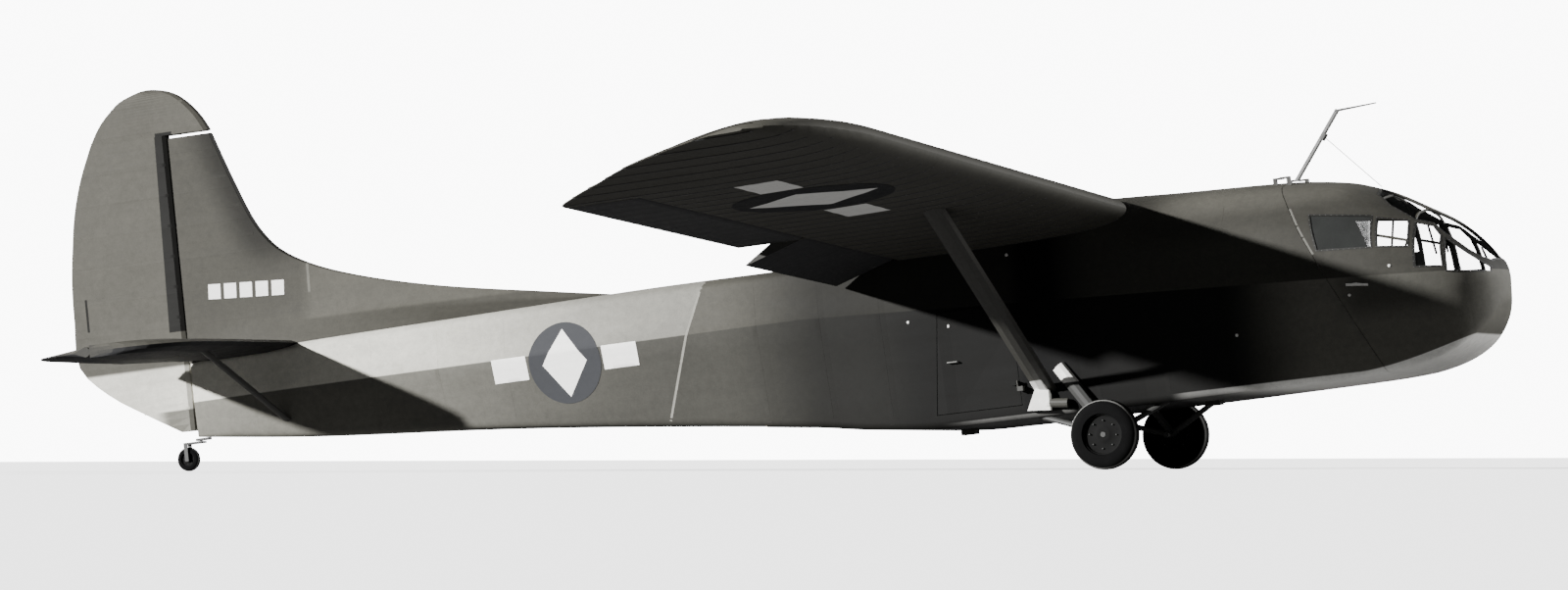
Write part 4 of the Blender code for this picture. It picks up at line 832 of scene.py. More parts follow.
def prism(form, outline, way, low, high):
    """A closed prism whose outline lies in the hull's side view, or in plan, between two places across it."""
    rings = []
    for place in (low, high):
        rings.append([Vector((a, place, b)) if way == "side" else Vector((a, b, place)) for a, b in outline])
    ring_loft(form, rings)


def block(form, one, other):
    """A box between two opposite corners in the hull frame."""
    low = [min(pair) for pair in zip(one, other)]
    high = [max(pair) for pair in zip(one, other)]
    corners = [(low[0], low[1]), (high[0], low[1]), (high[0], high[1]), (low[0], high[1])]
    prism(form, corners, "plan", low[2], high[2])


class Skin:
    """The outer surface of some solids or finished pieces, on which strips and marks are laid."""

    def __init__(self, *names, form=None):
        form = form or bmesh.new()
        for name in names:
            owner = NODES[name] if name in NODES else bpy.data.objects[name]
            form.from_mesh(owner.data)
        bmesh.ops.remove_doubles(form, verts=form.verts, dist=0.00005)
        bmesh.ops.recalc_face_normals(form, faces=form.faces)
        self.tree = BVHTree.FromBMesh(form)
        form.free()

    def hit(self, start, direction):
        """The place and the outward normal where a ray meets the skin, or None."""
        place, normal, _, _ = self.tree.ray_cast(start, direction)
        if place is None:
            return None
        return place, -normal if normal.dot(direction) > 0 else normal

    def flank(self, side):
        """Finds places on one flank by hull x and z; side is 1 on the left and -1 on the right."""
        return lambda x, z: self.hit(at(x, side * 3.0, z), Vector((0.0, -side, 0.0)))

    def above(self, x, y):
        return self.hit(at(x, y, 6.0), turned(0, 0, -1))

    def below(self, x, y):
        return self.hit(at(x, y, -3.0), turned(0, 0, 1))


def along(outline, step):
    """Points along a polygon's edges, no further apart than step."""
    corners = [Vector(corner) for corner in outline]
    path = []
    for start, end in zip(corners, corners[1:] + corners[:1]):
        count = max(1, math.ceil((end - start).length / step))
        path += [start.lerp(end, index / count) for index in range(count)]
    return path


def grown(outline, amount):
    """A convex outline with its corners moved outwards by amount."""
    points = [Vector(point) for point in outline]
    centre = sum(points, Vector((0.0, 0.0))) / len(points)
    moved = []
    for before, point, after in zip(points[-1:] + points[:-1], points, points[1:] + points[:1]):
        normals = []
        for run in ((point - before).normalized(), (after - point).normalized()):
            normal = Vector((run.y, -run.x))
            normals.append(-normal if normal.dot(point - centre) < 0 else normal)
        mean = (normals[0] + normals[1]).normalized()
        moved.append(point + mean * amount / max(mean.dot(normals[0]), 0.4))
    return moved


def on_skin(path, find):
    """Where the pairs of coordinates of a path lie on a skin."""
    return [hit for hit in (find(a, b) for a, b in path) if hit]


def patch(form, outline, find, lift, step, cuts=()):
    """A polygon laid on a skin and lifted off it, meshed to follow it, and folded along the cuts."""
    flat = bmesh.new()
    flat.faces.new([flat.verts.new((a, b, 0.0)) for a, b in along(outline, step)])
    for axis, normal in ((0, (1, 0, 0)), (1, (0, 1, 0))):
        low = min(v.co[axis] for v in flat.verts)
        high = max(v.co[axis] for v in flat.verts)
        count = max(2, math.ceil((high - low) / step))
        places = [low + (high - low) * index / count for index in range(1, count)]
        for place in places + (list(cuts) if axis else []):
            bmesh.ops.bisect_plane(
                flat, geom=flat.verts[:] + flat.edges[:] + flat.faces[:],
                plane_co=[c * place for c in normal], plane_no=normal)
    bmesh.ops.triangulate(flat, faces=flat.faces)
    lookup = {}
    for vertex in flat.verts:
        hit = find(vertex.co.x, vertex.co.y)
        if hit:
            lookup[vertex] = form.verts.new(hit[0] + hit[1] * lift)
    for face in flat.faces:
        if all(vertex in lookup for vertex in face.verts):
            form.faces.new([lookup[vertex] for vertex in face.verts])
    flat.free()


def lay_sheet(name, body, finish, patches, find, out, thickness, step=0.05, cuts=()):
    """Polygons laid on a skin as one thin piece that faces out; a patch is an outline and its lift."""
    form = bmesh.new()
    for outline, lift in patches:
        patch(form, outline, find, lift, step, cuts)
    bmesh.ops.recalc_face_normals(form, faces=form.faces)
    total = sum((face.normal * face.calc_area() for face in form.faces), Vector())
    if total.dot(Vector(out)) < 0:
        bmesh.ops.reverse_faces(form, faces=form.faces)
    piece = new_piece(name, mesh_from(form, name, False), finish, body)
    rim = piece.modifiers.new("thickness", "SOLIDIFY")
    rim.thickness = thickness
    rim.offset = 1.0
    mesh = evaluated(piece)
    piece.modifiers.clear()
    mesh.shade_smooth()
    mesh.set_sharp_from_angle(angle=math.radians(40.0))
    piece.data = mesh
    return piece


def geo(tree, kind, settings=None, **links):
    """Adds a geometry node with its settings and its sockets' values or links; returns its first output."""
    made = tree.nodes.new(kind)
    for key, value in (settings or {}).items():
        setattr(made, key, value)
    for key, value in links.items():
        socket = made.inputs[key.replace("_", " ")]
        if isinstance(value, bpy.types.NodeSocket):
            tree.links.new(value, socket)
        else:
            socket.default_value = value
    return made.outputs[0]


def tape_shape(tree, given):
    """Flat tapes along polylines, each lying on the surface whose direction the out attribute holds."""
    curve = geo(tree, "GeometryNodeMeshToCurve", Mesh=given["Geometry"])
    out = geo(tree, "GeometryNodeInputNamedAttribute", {"data_type": "FLOAT_VECTOR"}, Name="out")
    facing = geo(tree, "GeometryNodeSetCurveNormal", {"mode": "FREE"}, Curve=curve, Normal=out)
    profile = geo(
        tree, "GeometryNodeCurvePrimitiveQuadrilateral", {"mode": "RECTANGLE"},
        Width=given["Height"], Height=given["Width"])
    return geo(tree, "GeometryNodeCurveToMesh", Curve=facing, Profile_Curve=profile, Fill_Caps=True)


def pipe_shape(tree, given):
    """Round bars along polylines."""
    curve = geo(tree, "GeometryNodeMeshToCurve", Mesh=given["Geometry"])
    profile = geo(
        tree, "GeometryNodeCurvePrimitiveCircle", {"mode": "RADIUS"},
        Radius=given["Radius"], Resolution=given["Sides"])
    return geo(tree, "GeometryNodeCurveToMesh", Curve=curve, Profile_Curve=profile, Fill_Caps=True)


def head_shape(tree, given):
    """Small domed heads on points, each standing along its out attribute."""
    points = geo(tree, "GeometryNodeMeshToPoints", Mesh=given["Geometry"])
    head = geo(
        tree, "GeometryNodeMeshCone", Vertices=8, Side_Segments=1,
        Radius_Top=0.6, Radius_Bottom=1.0, Depth=1.0)
    size = geo(tree, "ShaderNodeCombineXYZ", X=given["Radius"], Y=given["Radius"], Z=given["Height"])
    out = geo(tree, "GeometryNodeInputNamedAttribute", {"data_type": "FLOAT_VECTOR"}, Name="out")
    turn = geo(tree, "FunctionNodeAlignRotationToVector", {"axis": "Z"}, Vector=out)
    return geo(
        tree, "GeometryNodeInstanceOnPoints", Points=points, Instance=head, Rotation=turn, Scale=size)


# Geometry node trees: their shape, and their inputs after the geometry
TREES = {
    "surface_tapes": (tape_shape, {"Width": "NodeSocketFloat", "Height": "NodeSocketFloat"}),
    "pipes": (pipe_shape, {"Radius": "NodeSocketFloat", "Sides": "NodeSocketInt"}),
    "domed_heads": (head_shape, {"Radius": "NodeSocketFloat", "Height": "NodeSocketFloat"}),
}


def node_tree(name):
    """One of the trees, made at its first use; its shape is realized and given its finish."""
    found = bpy.data.node_groups.get(name)
    if found:
        return found
    shape, inputs = TREES[name]
    tree = bpy.data.node_groups.new(name, "GeometryNodeTree")
    tree.interface.new_socket("Geometry", in_out="OUTPUT", socket_type="NodeSocketGeometry")
    for label, kind in {"Geometry": "NodeSocketGeometry", **inputs, "Finish": "NodeSocketMaterial"}.items():
        tree.interface.new_socket(label, in_out="INPUT", socket_type=kind)
    given = tree.nodes.new("NodeGroupInput").outputs
    real = geo(tree, "GeometryNodeRealizeInstances", Geometry=shape(tree, given))
    finished = geo(tree, "GeometryNodeSetMaterial", Geometry=real, Material=given["Finish"])
    tree.links.new(finished, tree.nodes.new("NodeGroupOutput").inputs[0])
    return tree


def grown_by_nodes(name, body, form, tree, values):
    """Runs a geometry node tree on a form, and keeps the result as a plain piece."""
    guide = loose_object(mesh_from(form, name + "_guide", False), name + "_guide")
    modifier = guide.modifiers.new("nodes", "NODES")
    modifier.node_group = tree
    for item in tree.interface.items_tree:
        if item.in_out == "INPUT" and item.name in values:
            modifier[item.identifier] = values[item.name]
    made = baked(guide)
    if not made.polygons:
        raise RuntimeError(name + ": its nodes made no faces")
    return new_piece(name, made, values["Finish"], body, 40.0)


def add_path(form, points, closed):
    """Adds a polyline and returns its vertices."""
    made = [form.verts.new(point) for point in points]
    for start, end in zip(made, made[1:] + (made[:1] if closed else [])):
        form.edges.new((start, end))
    return made


def lay_tapes(name, body, paths, width, height, finish):
    """Flat tapes along paths of place, normal pairs, each with whether it closes."""
    form = bmesh.new()
    layer = form.verts.layers.float_vector.new("out")
    for path, closed in paths:
        made = add_path(form, [place for place, _ in path], closed)
        for vertex, (_, normal) in zip(made, path):
            vertex[layer] = normal
    values = {"Width": width, "Height": height, "Finish": finish}
    grown_by_nodes(name, body, form, node_tree("surface_tapes"), values)


def set_heads(name, body, found, radius, height, finish, lift=0.0):
    """Small domed heads on place, normal pairs, lifted along the normals."""
    form = bmesh.new()
    layer = form.verts.layers.float_vector.new("out")
    for place, normal in found:
        form.verts.new(place + normal * lift)[layer] = normal
    values = {"Radius": radius, "Height": height, "Finish": finish}
    grown_by_nodes(name, body, form, node_tree("domed_heads"), values)


def run_pipes(name, body, lines, radius, finish):
    """Round bars along lines of hull-frame points, each with whether it closes."""
    form = bmesh.new()
    for points, closed in lines:
        add_path(form, [at(*point) for point in points], closed)
    values = {"Radius": radius, "Sides": 8, "Finish": finish}
    grown_by_nodes(name, body, form, node_tree("pipes"), values)


def airfoil(share):
    """Upper and lower surface heights, as shares of the chord, at a share of the chord."""
    root = math.sqrt(max(share, 0.0))
    half = 5 * THICKNESS * (
        0.2969 * root - 0.1260 * share - 0.3516 * share**2 + 0.2843 * share**3 - 0.1015 * share**4)
    if share < CAMBER_AT:
        line = CAMBER / CAMBER_AT**2 * (2 * CAMBER_AT * share - share**2)
    else:
        line = CAMBER / (1 - CAMBER_AT) ** 2 * (1 - 2 * CAMBER_AT + 2 * CAMBER_AT * share - share**2)
    return line + half, line - half


def wing_point(side, y, aft, up):
    """Scene point for a span position, a distance behind the root's leading edge and a height."""
    return at(
        WING_LE_X - aft * math.cos(INCIDENCE),
        side * y,
        WING_LE_Z - aft * math.sin(INCIDENCE) + up + (y - WING_ROOT_Y) * math.tan(DIHEDRAL))


def smooth_between(rows, value):
    """Values between rows on a curve without overshoot, at a given first value."""
    value = min(max(value, rows[0][0]), rows[-1][0])
    for index, (low, high) in enumerate(zip(rows, rows[1:])):
        if value <= high[0]:
            break
    span = high[0] - low[0]
    t = (value - low[0]) / span
    made = []
    for column in range(1, len(low)):
        slopes = []
        for near in (index, index + 1):
            if 0 < near < len(rows) - 1:
                before, here, after = rows[near - 1], rows[near], rows[near + 1]
                first = (here[column] - before[column]) / (here[0] - before[0])
                second = (after[column] - here[column]) / (after[0] - here[0])
                slopes.append(0.0 if first * second <= 0 else 2 * first * second / (first + second))
            else:
                slopes.append((high[column] - low[column]) / span)
        made.append(
            low[column] * (2 * t**3 - 3 * t**2 + 1) + high[column] * (3 * t**2 - 2 * t**3)
            + slopes[0] * span * (t**3 - 2 * t**2 + t) + slopes[1] * span * (t**3 - t**2))
    return made


def arc_rows(points):
    """Points with the length run so far put before each."""
    rows = [(0.0, *points[0])]
    for before, after in zip(points, points[1:]):
        rows.append((rows[-1][0] + (Vector(after) - Vector(before)).length, *after))
    return rows


def rib_count(fabric):
    return round(RIB_SPAN / fabric.rib_spacing)


def rib_places(fabric):
    """Span positions of the wing's ribs."""
    count = rib_count(fabric)
    return [WING_ROOT_Y + RIB_SPAN * index / count for index in range(count + 1)]


def sink(fabric, y, share):
    """How far the fabric has sunk at a span position and a share of the chord."""
    phase = (y - WING_ROOT_Y) / RIB_SPAN * rib_count(fabric)
    depth = abs(math.sin(math.pi * phase)) ** 0.8
    aft = min(max((share - 0.10) / 0.15, 0.0), 1.0) * min(max((1.0 - share) / 0.1, 0.0), 1.0)
    return fabric.sag * depth * aft


def wing_part(form, fabric, side, span, shares):
    """A closed stretch of wing through span positions, between the first and the last share of the chord."""
    rings = []
    for y in span:
        lead, trail = smooth_between(TIP_OUTLINE, y)
        chord = trail - lead
        upper = []
        lower = []
        for aft in (min(share * CHORD, trail - 0.002) for share in shares):
            share = min(max((aft - lead) / chord, 0.0), 1.0)
            aft = max(aft, lead)
            high, low = airfoil(share)
            drop = sink(fabric, y, share)
            upper.append(wing_point(side, y, aft, chord * high - drop))
            lower.append(wing_point(side, y, aft, chord * low + drop * 0.8))
        rings.append(upper + lower[::-1])
    ring_loft(form, rings)


def bay_front():
    """Share of the chord at which the control surfaces' bay starts, half a section ahead of their hinges."""
    upper, lower = airfoil(HINGE_AT)
    return HINGE_AT - (CHORD * (upper - lower) / 2 + BAY_GAP) / CHORD


def rounded_corners(points, cuts, steps=4, spread=3):
    """An outline with corners rounded over at most the cuts, and extra points on its straight stretches."""
    arcs = []
    for index, point in enumerate(points):
        before, after = points[index - 1], points[(index + 1) % len(points)]
        cut = min(cuts[index], 0.36 * (before - point).length, 0.36 * (after - point).length)
        if cut <= 0:
            arcs.append([point])
            continue
        start = point + (before - point).normalized() * cut
        end = point + (after - point).normalized() * cut
        arcs.append([
            start.lerp(point, share).lerp(point.lerp(end, share), share)
            for share in (step / steps for step in range(steps + 1))
        ])
    path = []
    for arc, following in zip(arcs, arcs[1:] + arcs[:1]):
        path += arc + [arc[-1].lerp(following[0], step / (spread + 1)) for step in range(1, spread + 1)]
    return path


def hull_rows(fabric):
    """Hull stations on a smooth curve, closer together in the nose."""
    rows = arc_rows(HULL)
    made = []
    for low, high in zip(rows, rows[1:]):
        step = fabric.nose_step if low[1] > 5.0 else fabric.ring_step
        count = max(2, math.ceil((high[0] - low[0]) / step))
        made += [smooth_between(rows, low[0] + (high[0] - low[0]) * share / count) for share in range(count)]
    made.append(list(HULL[-1]))
    return made


def row_at(rows, x):
    """Hull station values at x."""
    near = max((entry for entry in rows if entry[0] <= x), key=lambda entry: entry[0])
    after = min((entry for entry in rows if entry[0] > x), key=lambda entry: entry[0])
    share = (x - near[0]) / (after[0] - near[0])
    return [a + (b - a) * share for a, b in zip(near, after)]


def hull_section(row, inset=0.0):
    """Rounded section of the hull at a station, as hull-frame points."""
    x, crown_z = row[0], row[-1]
    half = [(row[index + 1], row[index]) for index in (1, 3, 5, 7)]
    belly, shoulder, edge, crown = CORNER_CUTS
    points = [Vector((x, y - inset, z)) for y, z in half] + [Vector((x, 0.0, crown_z - inset))]
    points += [Vector((x, inset - y, z)) for y, z in reversed(half)]
    cuts = (belly, 0.0, shoulder, edge, crown, edge, shoulder, 0.0, belly)
    return rounded_corners(points, cuts)


def hull_form(fabric):
    """The whole hull as one closed smooth surface, in the hull frame."""
    form = bmesh.new()
    ring_loft(form, [hull_section(row) for row in hull_rows(fabric)])
    bmesh.ops.recalc_face_normals(form, faces=form.faces)
    return form


def hull_skin(fabric):
    """The hull's uncut skin, for what is laid on it."""
    form = hull_form(fabric)
    form.transform(to_scene())
    return Skin(form=form)


def windows_of(side):
    """Side-view outlines of one side's windows."""
    if side < 0:
        return WINDOWS
    return (WINDOWS[0], LOW_WINDOW, *WINDOWS[2:])


def keep_side(form, point, normal, fill=False):
    """Cuts a form with a plane and keeps what lies behind it."""
    cut = bmesh.ops.bisect_plane(
        form, geom=form.verts[:] + form.edges[:] + form.faces[:],
        plane_co=point, plane_no=normal, clear_outer=True)
    if fill:
        edges = [item for item in cut["geom_cut"] if isinstance(item, bmesh.types.BMEdge)]
        bmesh.ops.contextual_create(form, geom=edges)


def shell(form, name, wall, cutters):
    """An open skin with a wall's depth inwards and with holes cut: the mesh, its inner faces with index 1."""
    owner = loose_object(mesh_from(form, name, False), name)
    deep = owner.modifiers.new("wall", "SOLIDIFY")
    deep.thickness = wall
    deep.offset = -1.0
    deep.material_offset = 1
    owner.data.materials.append(None)
    owner.data.materials.append(None)
    mesh = baked(owner)
    for holes in cutters:
        walled = loose_object(mesh, name)
        cutter = loose_object(mesh_from(holes, name + "_holes"), name + "_holes")
        cut = walled.modifiers.new("holes", "BOOLEAN")
        cut.operation = "DIFFERENCE"
        cut.object = cutter
        mesh = baked(walled)
        bpy.data.objects.remove(cutter)
    mesh.transform(to_scene())
    return mesh


def knuckle(form, side, inner, outer, way, start):
    """One half of a nose hinge, an upright and an arm to the pin; way is 1 on the nose and -1 on the roof."""
    for near, far, foot, top in ((0.06, 0.09, -0.12, -0.007), (start, 0.09, -0.008, 0.008)):
        block(
            form, (NOSE_HINGE_X + way * near, side * inner, NOSE_HINGE_Z + foot),
            (NOSE_HINGE_X + way * far, side * outer, NOSE_HINGE_Z + top))


class GLIDER_OT_fabric(bpy.types.Operator):
    """Gives every solid of the airframe its finish"""

    bl_idname = "glider.fabric"
    bl_label = "Airframe finishes"

    def execute(self, context):
        paint = context.scene.glider_paint
        spacing = context.scene.glider_fabric.rib_spacing
        finishes = (
            ("bench", plywood_finish("bench_planks", paint.bench)),
            (("cargo_floor", "cockpit_floor"), plywood_finish("plywood", paint.plywood)),
            (("hull_belly", "nose_belly"), plain_fabric("belly_fabric", paint.belly, FORMER_PITCH)),
            (("flap", "aileron"), surface_fabric(paint, "surface_fabric", spacing)),
            ("fin", fin_fabric(paint, "fin_fabric")),
            ("rudder", rudder_fabric(paint, "rudder_fabric")),
            ("stabiliser_strut", painted_metal("brace_paint", scaled(paint.side, 0.9))),
            ("wing_strut", painted_metal("strut_paint", scaled(paint.side, 1.0), 0.5, 0.2, PALE_CUFF)),
            # The tail's undersides take half the grey, a painted shade
            (("stabiliser", "elevator"), surface_fabric(paint, "tail_fabric", TAIL_RIB_PITCH, 0.5)),
            ("gear_frame", painted_metal("gear_paint", scaled(paint.metal, 0.5), 0.5, 0.2, PALE_SLEEVE)),
            (("tail_wheel", "control"), painted_metal("steel_paint", scaled(paint.metal, 0.5))),
            ("pitot", painted_metal("mast_paint", paint.metal)),
            ("pilot_seat", painted_metal("seat_paint", scaled(paint.shoulder, 0.8))),
            ("instrument", painted_metal("panel_paint", (0.012, 0.012, 0.012), 0.5, 0.1)),
            ("", hull_fabric(paint, "hull_fabric")),
        )
        for node, owner in NODES.items():
            finish = next(finish for start, finish in finishes if node.startswith(start))
            for slot in owner.material_slots:
                slot.material = finish
            if not owner.material_slots:
                owner.data.materials.append(finish)
        return {"FINISHED"}


class GLIDER_OT_skins(bpy.types.Operator):
    """Builds the smooth skins of the fuselage, the nose and the fin over their solids"""

    bl_idname = "glider.skins"
    bl_label = "Fuselage skins"

    def execute(self, context):
        paint = context.scene.glider_paint
        fabric = context.scene.glider_fabric
        outer = bpy.data.materials["hull_fabric"]
        inner = plain_fabric("inner_fabric", paint.lining, FORMER_PITCH)
        dark = painted_metal("hinge_paint", scaled(paint.side, 0.6))
        self.rear(fabric, outer)
        self.bay(fabric, (outer, inner))
        self.bay_fittings(dark)
        self.nose(fabric, (outer, inner))
        self.nose_fittings(dark)
        self.bulkhead(fabric)
        self.fin(fabric, bpy.data.materials["fin_fabric"])
        return {"FINISHED"}

    @staticmethod
    def piece(form, name, finish, body="airframe", slot="doped_fabric"):
        """A piece from a form in the hull frame."""
        form.transform(to_scene())
        return new_piece(name, mesh_from(form, name), finish, body)

    def rear(self, fabric, outer):
        form = hull_form(fabric)
        keep_side(form, (BULKHEAD_X, 0, 0), (1, 0, 0), True)
        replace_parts(self.piece(form, "rear_skin", outer), "rear_fuselage")

    @staticmethod
    def bay(fabric, finishes):
        form = hull_form(fabric)
        keep_side(form, (BULKHEAD_X, 0, 0), (-1, 0, 0))
        keep_side(form, (SEAM_FOOT_X - SEAM_HALF_GAP, 0, 0), (1, 0, SEAM_SLOPE))
        holes = bmesh.new()
        for side, _ in SIDES:
            prism(holes, grown(DOOR_HOLE, DOOR_GAP), "side", side * 0.70, side * 1.20)
        mesh = shell(form, "hull_shell", fabric.wall, [holes])
        skin = new_piece("hull_shell", mesh, finishes, "airframe")
        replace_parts(skin, "hull_side_left", "hull_side_right", "hull_roof", "hull_belly")

    @staticmethod
    def bay_fittings(finish):
        """Jacking pads, and the fixed halves of the door and nose hinges with their pins."""
        form = bmesh.new()
        for x in BELLY_PADS_X:
            block(form, (x - 0.07, -0.07, -0.045), (x + 0.07, 0.07, 0.01))
        x, y, heights = DOOR_HINGE
        for side, _ in SIDES:
            for z in heights:
                block(form, (x, side * (y - 0.05), z - 0.05), (x + 0.05, side * (y + 0.009), z - 0.006))
        inner, middle, outer = NOSE_KNUCKLE_Y
        for side, _ in SIDES:
            knuckle(form, side, inner, middle, -1, 0.0)
        form.transform(to_scene())
        for side, _ in SIDES:
            for z in heights:
                tube(form, [at(x, side * y, z - 0.05), at(x, side * y, z + 0.05)], 0.009)
            tube(form, [at(NOSE_HINGE_X, side * place, NOSE_HINGE_Z) for place in (inner, outer)], 0.009, 14)
        new_piece("hull_fittings", mesh_from(form, "hull_fittings"), finish, "airframe")

    @staticmethod
    def nose(fabric, finishes):
        form = hull_form(fabric)
        keep_side(form, (SEAM_FOOT_X + SEAM_HALF_GAP, 0, 0), (-1, 0, -SEAM_SLOPE))
        windows = bmesh.new()
        top = bmesh.new()
        for side, _ in SIDES:
            for outline in windows_of(side):
                prism(windows, outline, "side", *sorted((side * 0.05, side * 1.3)))
            prism(top, [(x, side * y) for x, y in WINDSHIELD], "plan", WINDSHIELD_LOW_Z, 2.2)
        mesh = shell(form, "nose_shell", fabric.wall, [windows, top])
        skin = new_piece("nose_shell", mesh, finishes, "nose")
        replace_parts(skin, "nose_side_left", "nose_side_right", "nose_roof", "nose_belly", "nose_cap")

    def nose_fittings(self, finish):
        """The swinging halves of the nose hinges."""
        form = bmesh.new()
        for side, _ in SIDES:
            knuckle(form, side, NOSE_KNUCKLE_Y[1] + 0.006, NOSE_KNUCKLE_Y[2], 1, 0.0095)
        self.piece(form, "nose_fittings", finish, "nose", "gear_metal")

    def bulkhead(self, fabric):
        front = BULKHEAD_X
        row = min(hull_rows(fabric), key=lambda entry: abs(entry[0] - front))
        outline = [(point.y, point.z) for point in hull_section(row, 0.012)]
        form = bmesh.new()
        ring_loft(form, [[Vector((x, y, z)) for y, z in outline] for x in (front - 0.012, front - 0.002)])
        panel = self.piece(form, "bulkhead_panel", bpy.data.materials["plywood"], slot="plywood")
        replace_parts(panel, "bulkhead")

    def fin(self, fabric, finish):
        """The ridge and the fin, whose flanks flare out on to the deck."""
        rows = hull_rows(fabric)
        spine = arc_rows(FIN_RIDGE)
        line = [smooth_between(spine, spine[-1][0] * step / 110) for step in range(111)]
        line += [(x, FIN_RIDGE[-1][1]) for x in (-5.70, -5.85, -6.00, FIN_REAR_X)]
        rings = []
        for x, top in line:
            roof_z, roof_w, crown_z = row_at(rows, max(x, FIN_REAR_X))[7:]
            thin = min(0.012 + (top - crown_z) * 0.05, 0.05)
            spread = 0.92 * min((FIN_RIDGE[0][0] - x) / RIDGE_SPREAD_RUN + 0.10, 1.0)
            base_w = max(roof_w * spread, thin * 1.5)
            base_z = crown_z - (crown_z - roof_z) * spread**2 - 0.006
            top = max(top, crown_z + 0.012)
            knee_z = base_z + min(0.30, (top - base_z) * 0.5)
            knee_w = thin + (base_w - thin) * 0.18
            half = [(base_w, base_z), (knee_w, knee_z), (thin, top - 0.012), (thin * 0.4, top)]
            points = [Vector((x, y, z)) for y, z in half]
            points += [Vector((x, -y, z)) for y, z in reversed(half)]
            rings.append(rounded_corners(points, (0.0, 0.30, 0.01, 0.01, 0.01, 0.01, 0.30, 0.0), 6, 2))
        form = bmesh.new()
        ring_loft(form, rings)
        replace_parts(self.piece(form, "fin_skin", finish), "fin")


class GLIDER_OT_wings(bpy.types.Operator):
    """Builds the wings' fabric skins, sunk between their ribs"""

    bl_idname = "glider.wings"
    bl_label = "Wings"

    def execute(self, context):
        paint = context.scene.glider_paint
        fabric = context.scene.glider_fabric
        top = plain_fabric("wing_fabric", scaled(paint.olive, 0.9))
        under = plain_fabric("wing_under_fabric", paint.grey)
        front = bay_front()
        # Shares of the chord, closer together near the leading edge
        steps = fabric.chord_steps
        ahead = [front * (1 - math.cos(math.pi / 2 * step / steps)) for step in range(steps + 1)]
        behind = [front + (1.0 - front) * step / 6 for step in range(7)]
        tip_y = TIP_OUTLINE[-1][0]
        places = sorted({
            min(rib + fabric.rib_spacing * step / 4, tip_y)
            for rib in rib_places(fabric)
            for step in range(4)
        })
        outboard = AILERON_Y[1] + BAY_GAP
        tail = [outboard] + [y for y in places if y > outboard]
        fixed = [FLAP_Y[1] + BAY_GAP, AILERON_Y[0] - BAY_GAP]
        up = turned(0, 0, 1)
        for side, name in SIDES:
            form = bmesh.new()
            for span, shares in ((places, ahead), (tail, behind), (fixed, behind)):
                wing_part(form, fabric, side, span, shares)
            mesh = mesh_from(form, "wing_skin_" + name)
            for polygon in mesh.polygons:
                polygon.material_index = 0 if polygon.normal.dot(up) > 0 else 1
            piece = new_piece("wing_skin_" + name, mesh, [top, under], "airframe", 35.0)
            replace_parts(piece, "wing_" + name)
        return {"FINISHED"}


class GLIDER_OT_tapes(bpy.types.Operator):
    """Lays rib tapes on the wings"""

    bl_idname = "glider.tapes"
    bl_label = "Wing tapes"

    def execute(self, context):
        paint = context.scene.glider_paint
        fabric = context.scene.glider_fabric
        surfaces = (
            ("upper", tape_finish("tape_olive", paint.olive)),
            ("lower", tape_finish("tape_grey", scaled(paint.grey, 1.35))),
        )
        for side, name in SIDES:
            for index, (label, finish) in enumerate(surfaces):
                paths = [(self.rib_line(side, y, index), False) for y in rib_places(fabric)]
                piece = "rib_tapes_" + label + "_" + name
                lay_tapes(piece, "airframe", paths, fabric.tape_width, fabric.tape_height, finish)
        return {"FINISHED"}

    @staticmethod
    def rib_line(side, y, surface):
        """Places and normals from the leading edge back; surface is 0 above and 1 below."""
        lead, trail = smooth_between(TIP_OUTLINE, y)
        chord = trail - lead
        end = 1.0 if y > AILERON_Y[1] + 0.03 else bay_front()
        line = []
        for step in range(25):
            aft = max(min(CHORD * end * step / 24, trail - 0.004), lead)
            share = (aft - lead) / chord
            if line and share < 0.004:
                continue
            height = airfoil(share)[surface] * chord
            ahead = airfoil(min(share + 0.01, 1.0))[surface] * chord
            normal = turned((ahead - height) / (0.01 * chord), 0.0, 1.0).normalized()
            line.append((wing_point(side, y, aft, height), -normal if surface else normal))
        return line[1:]


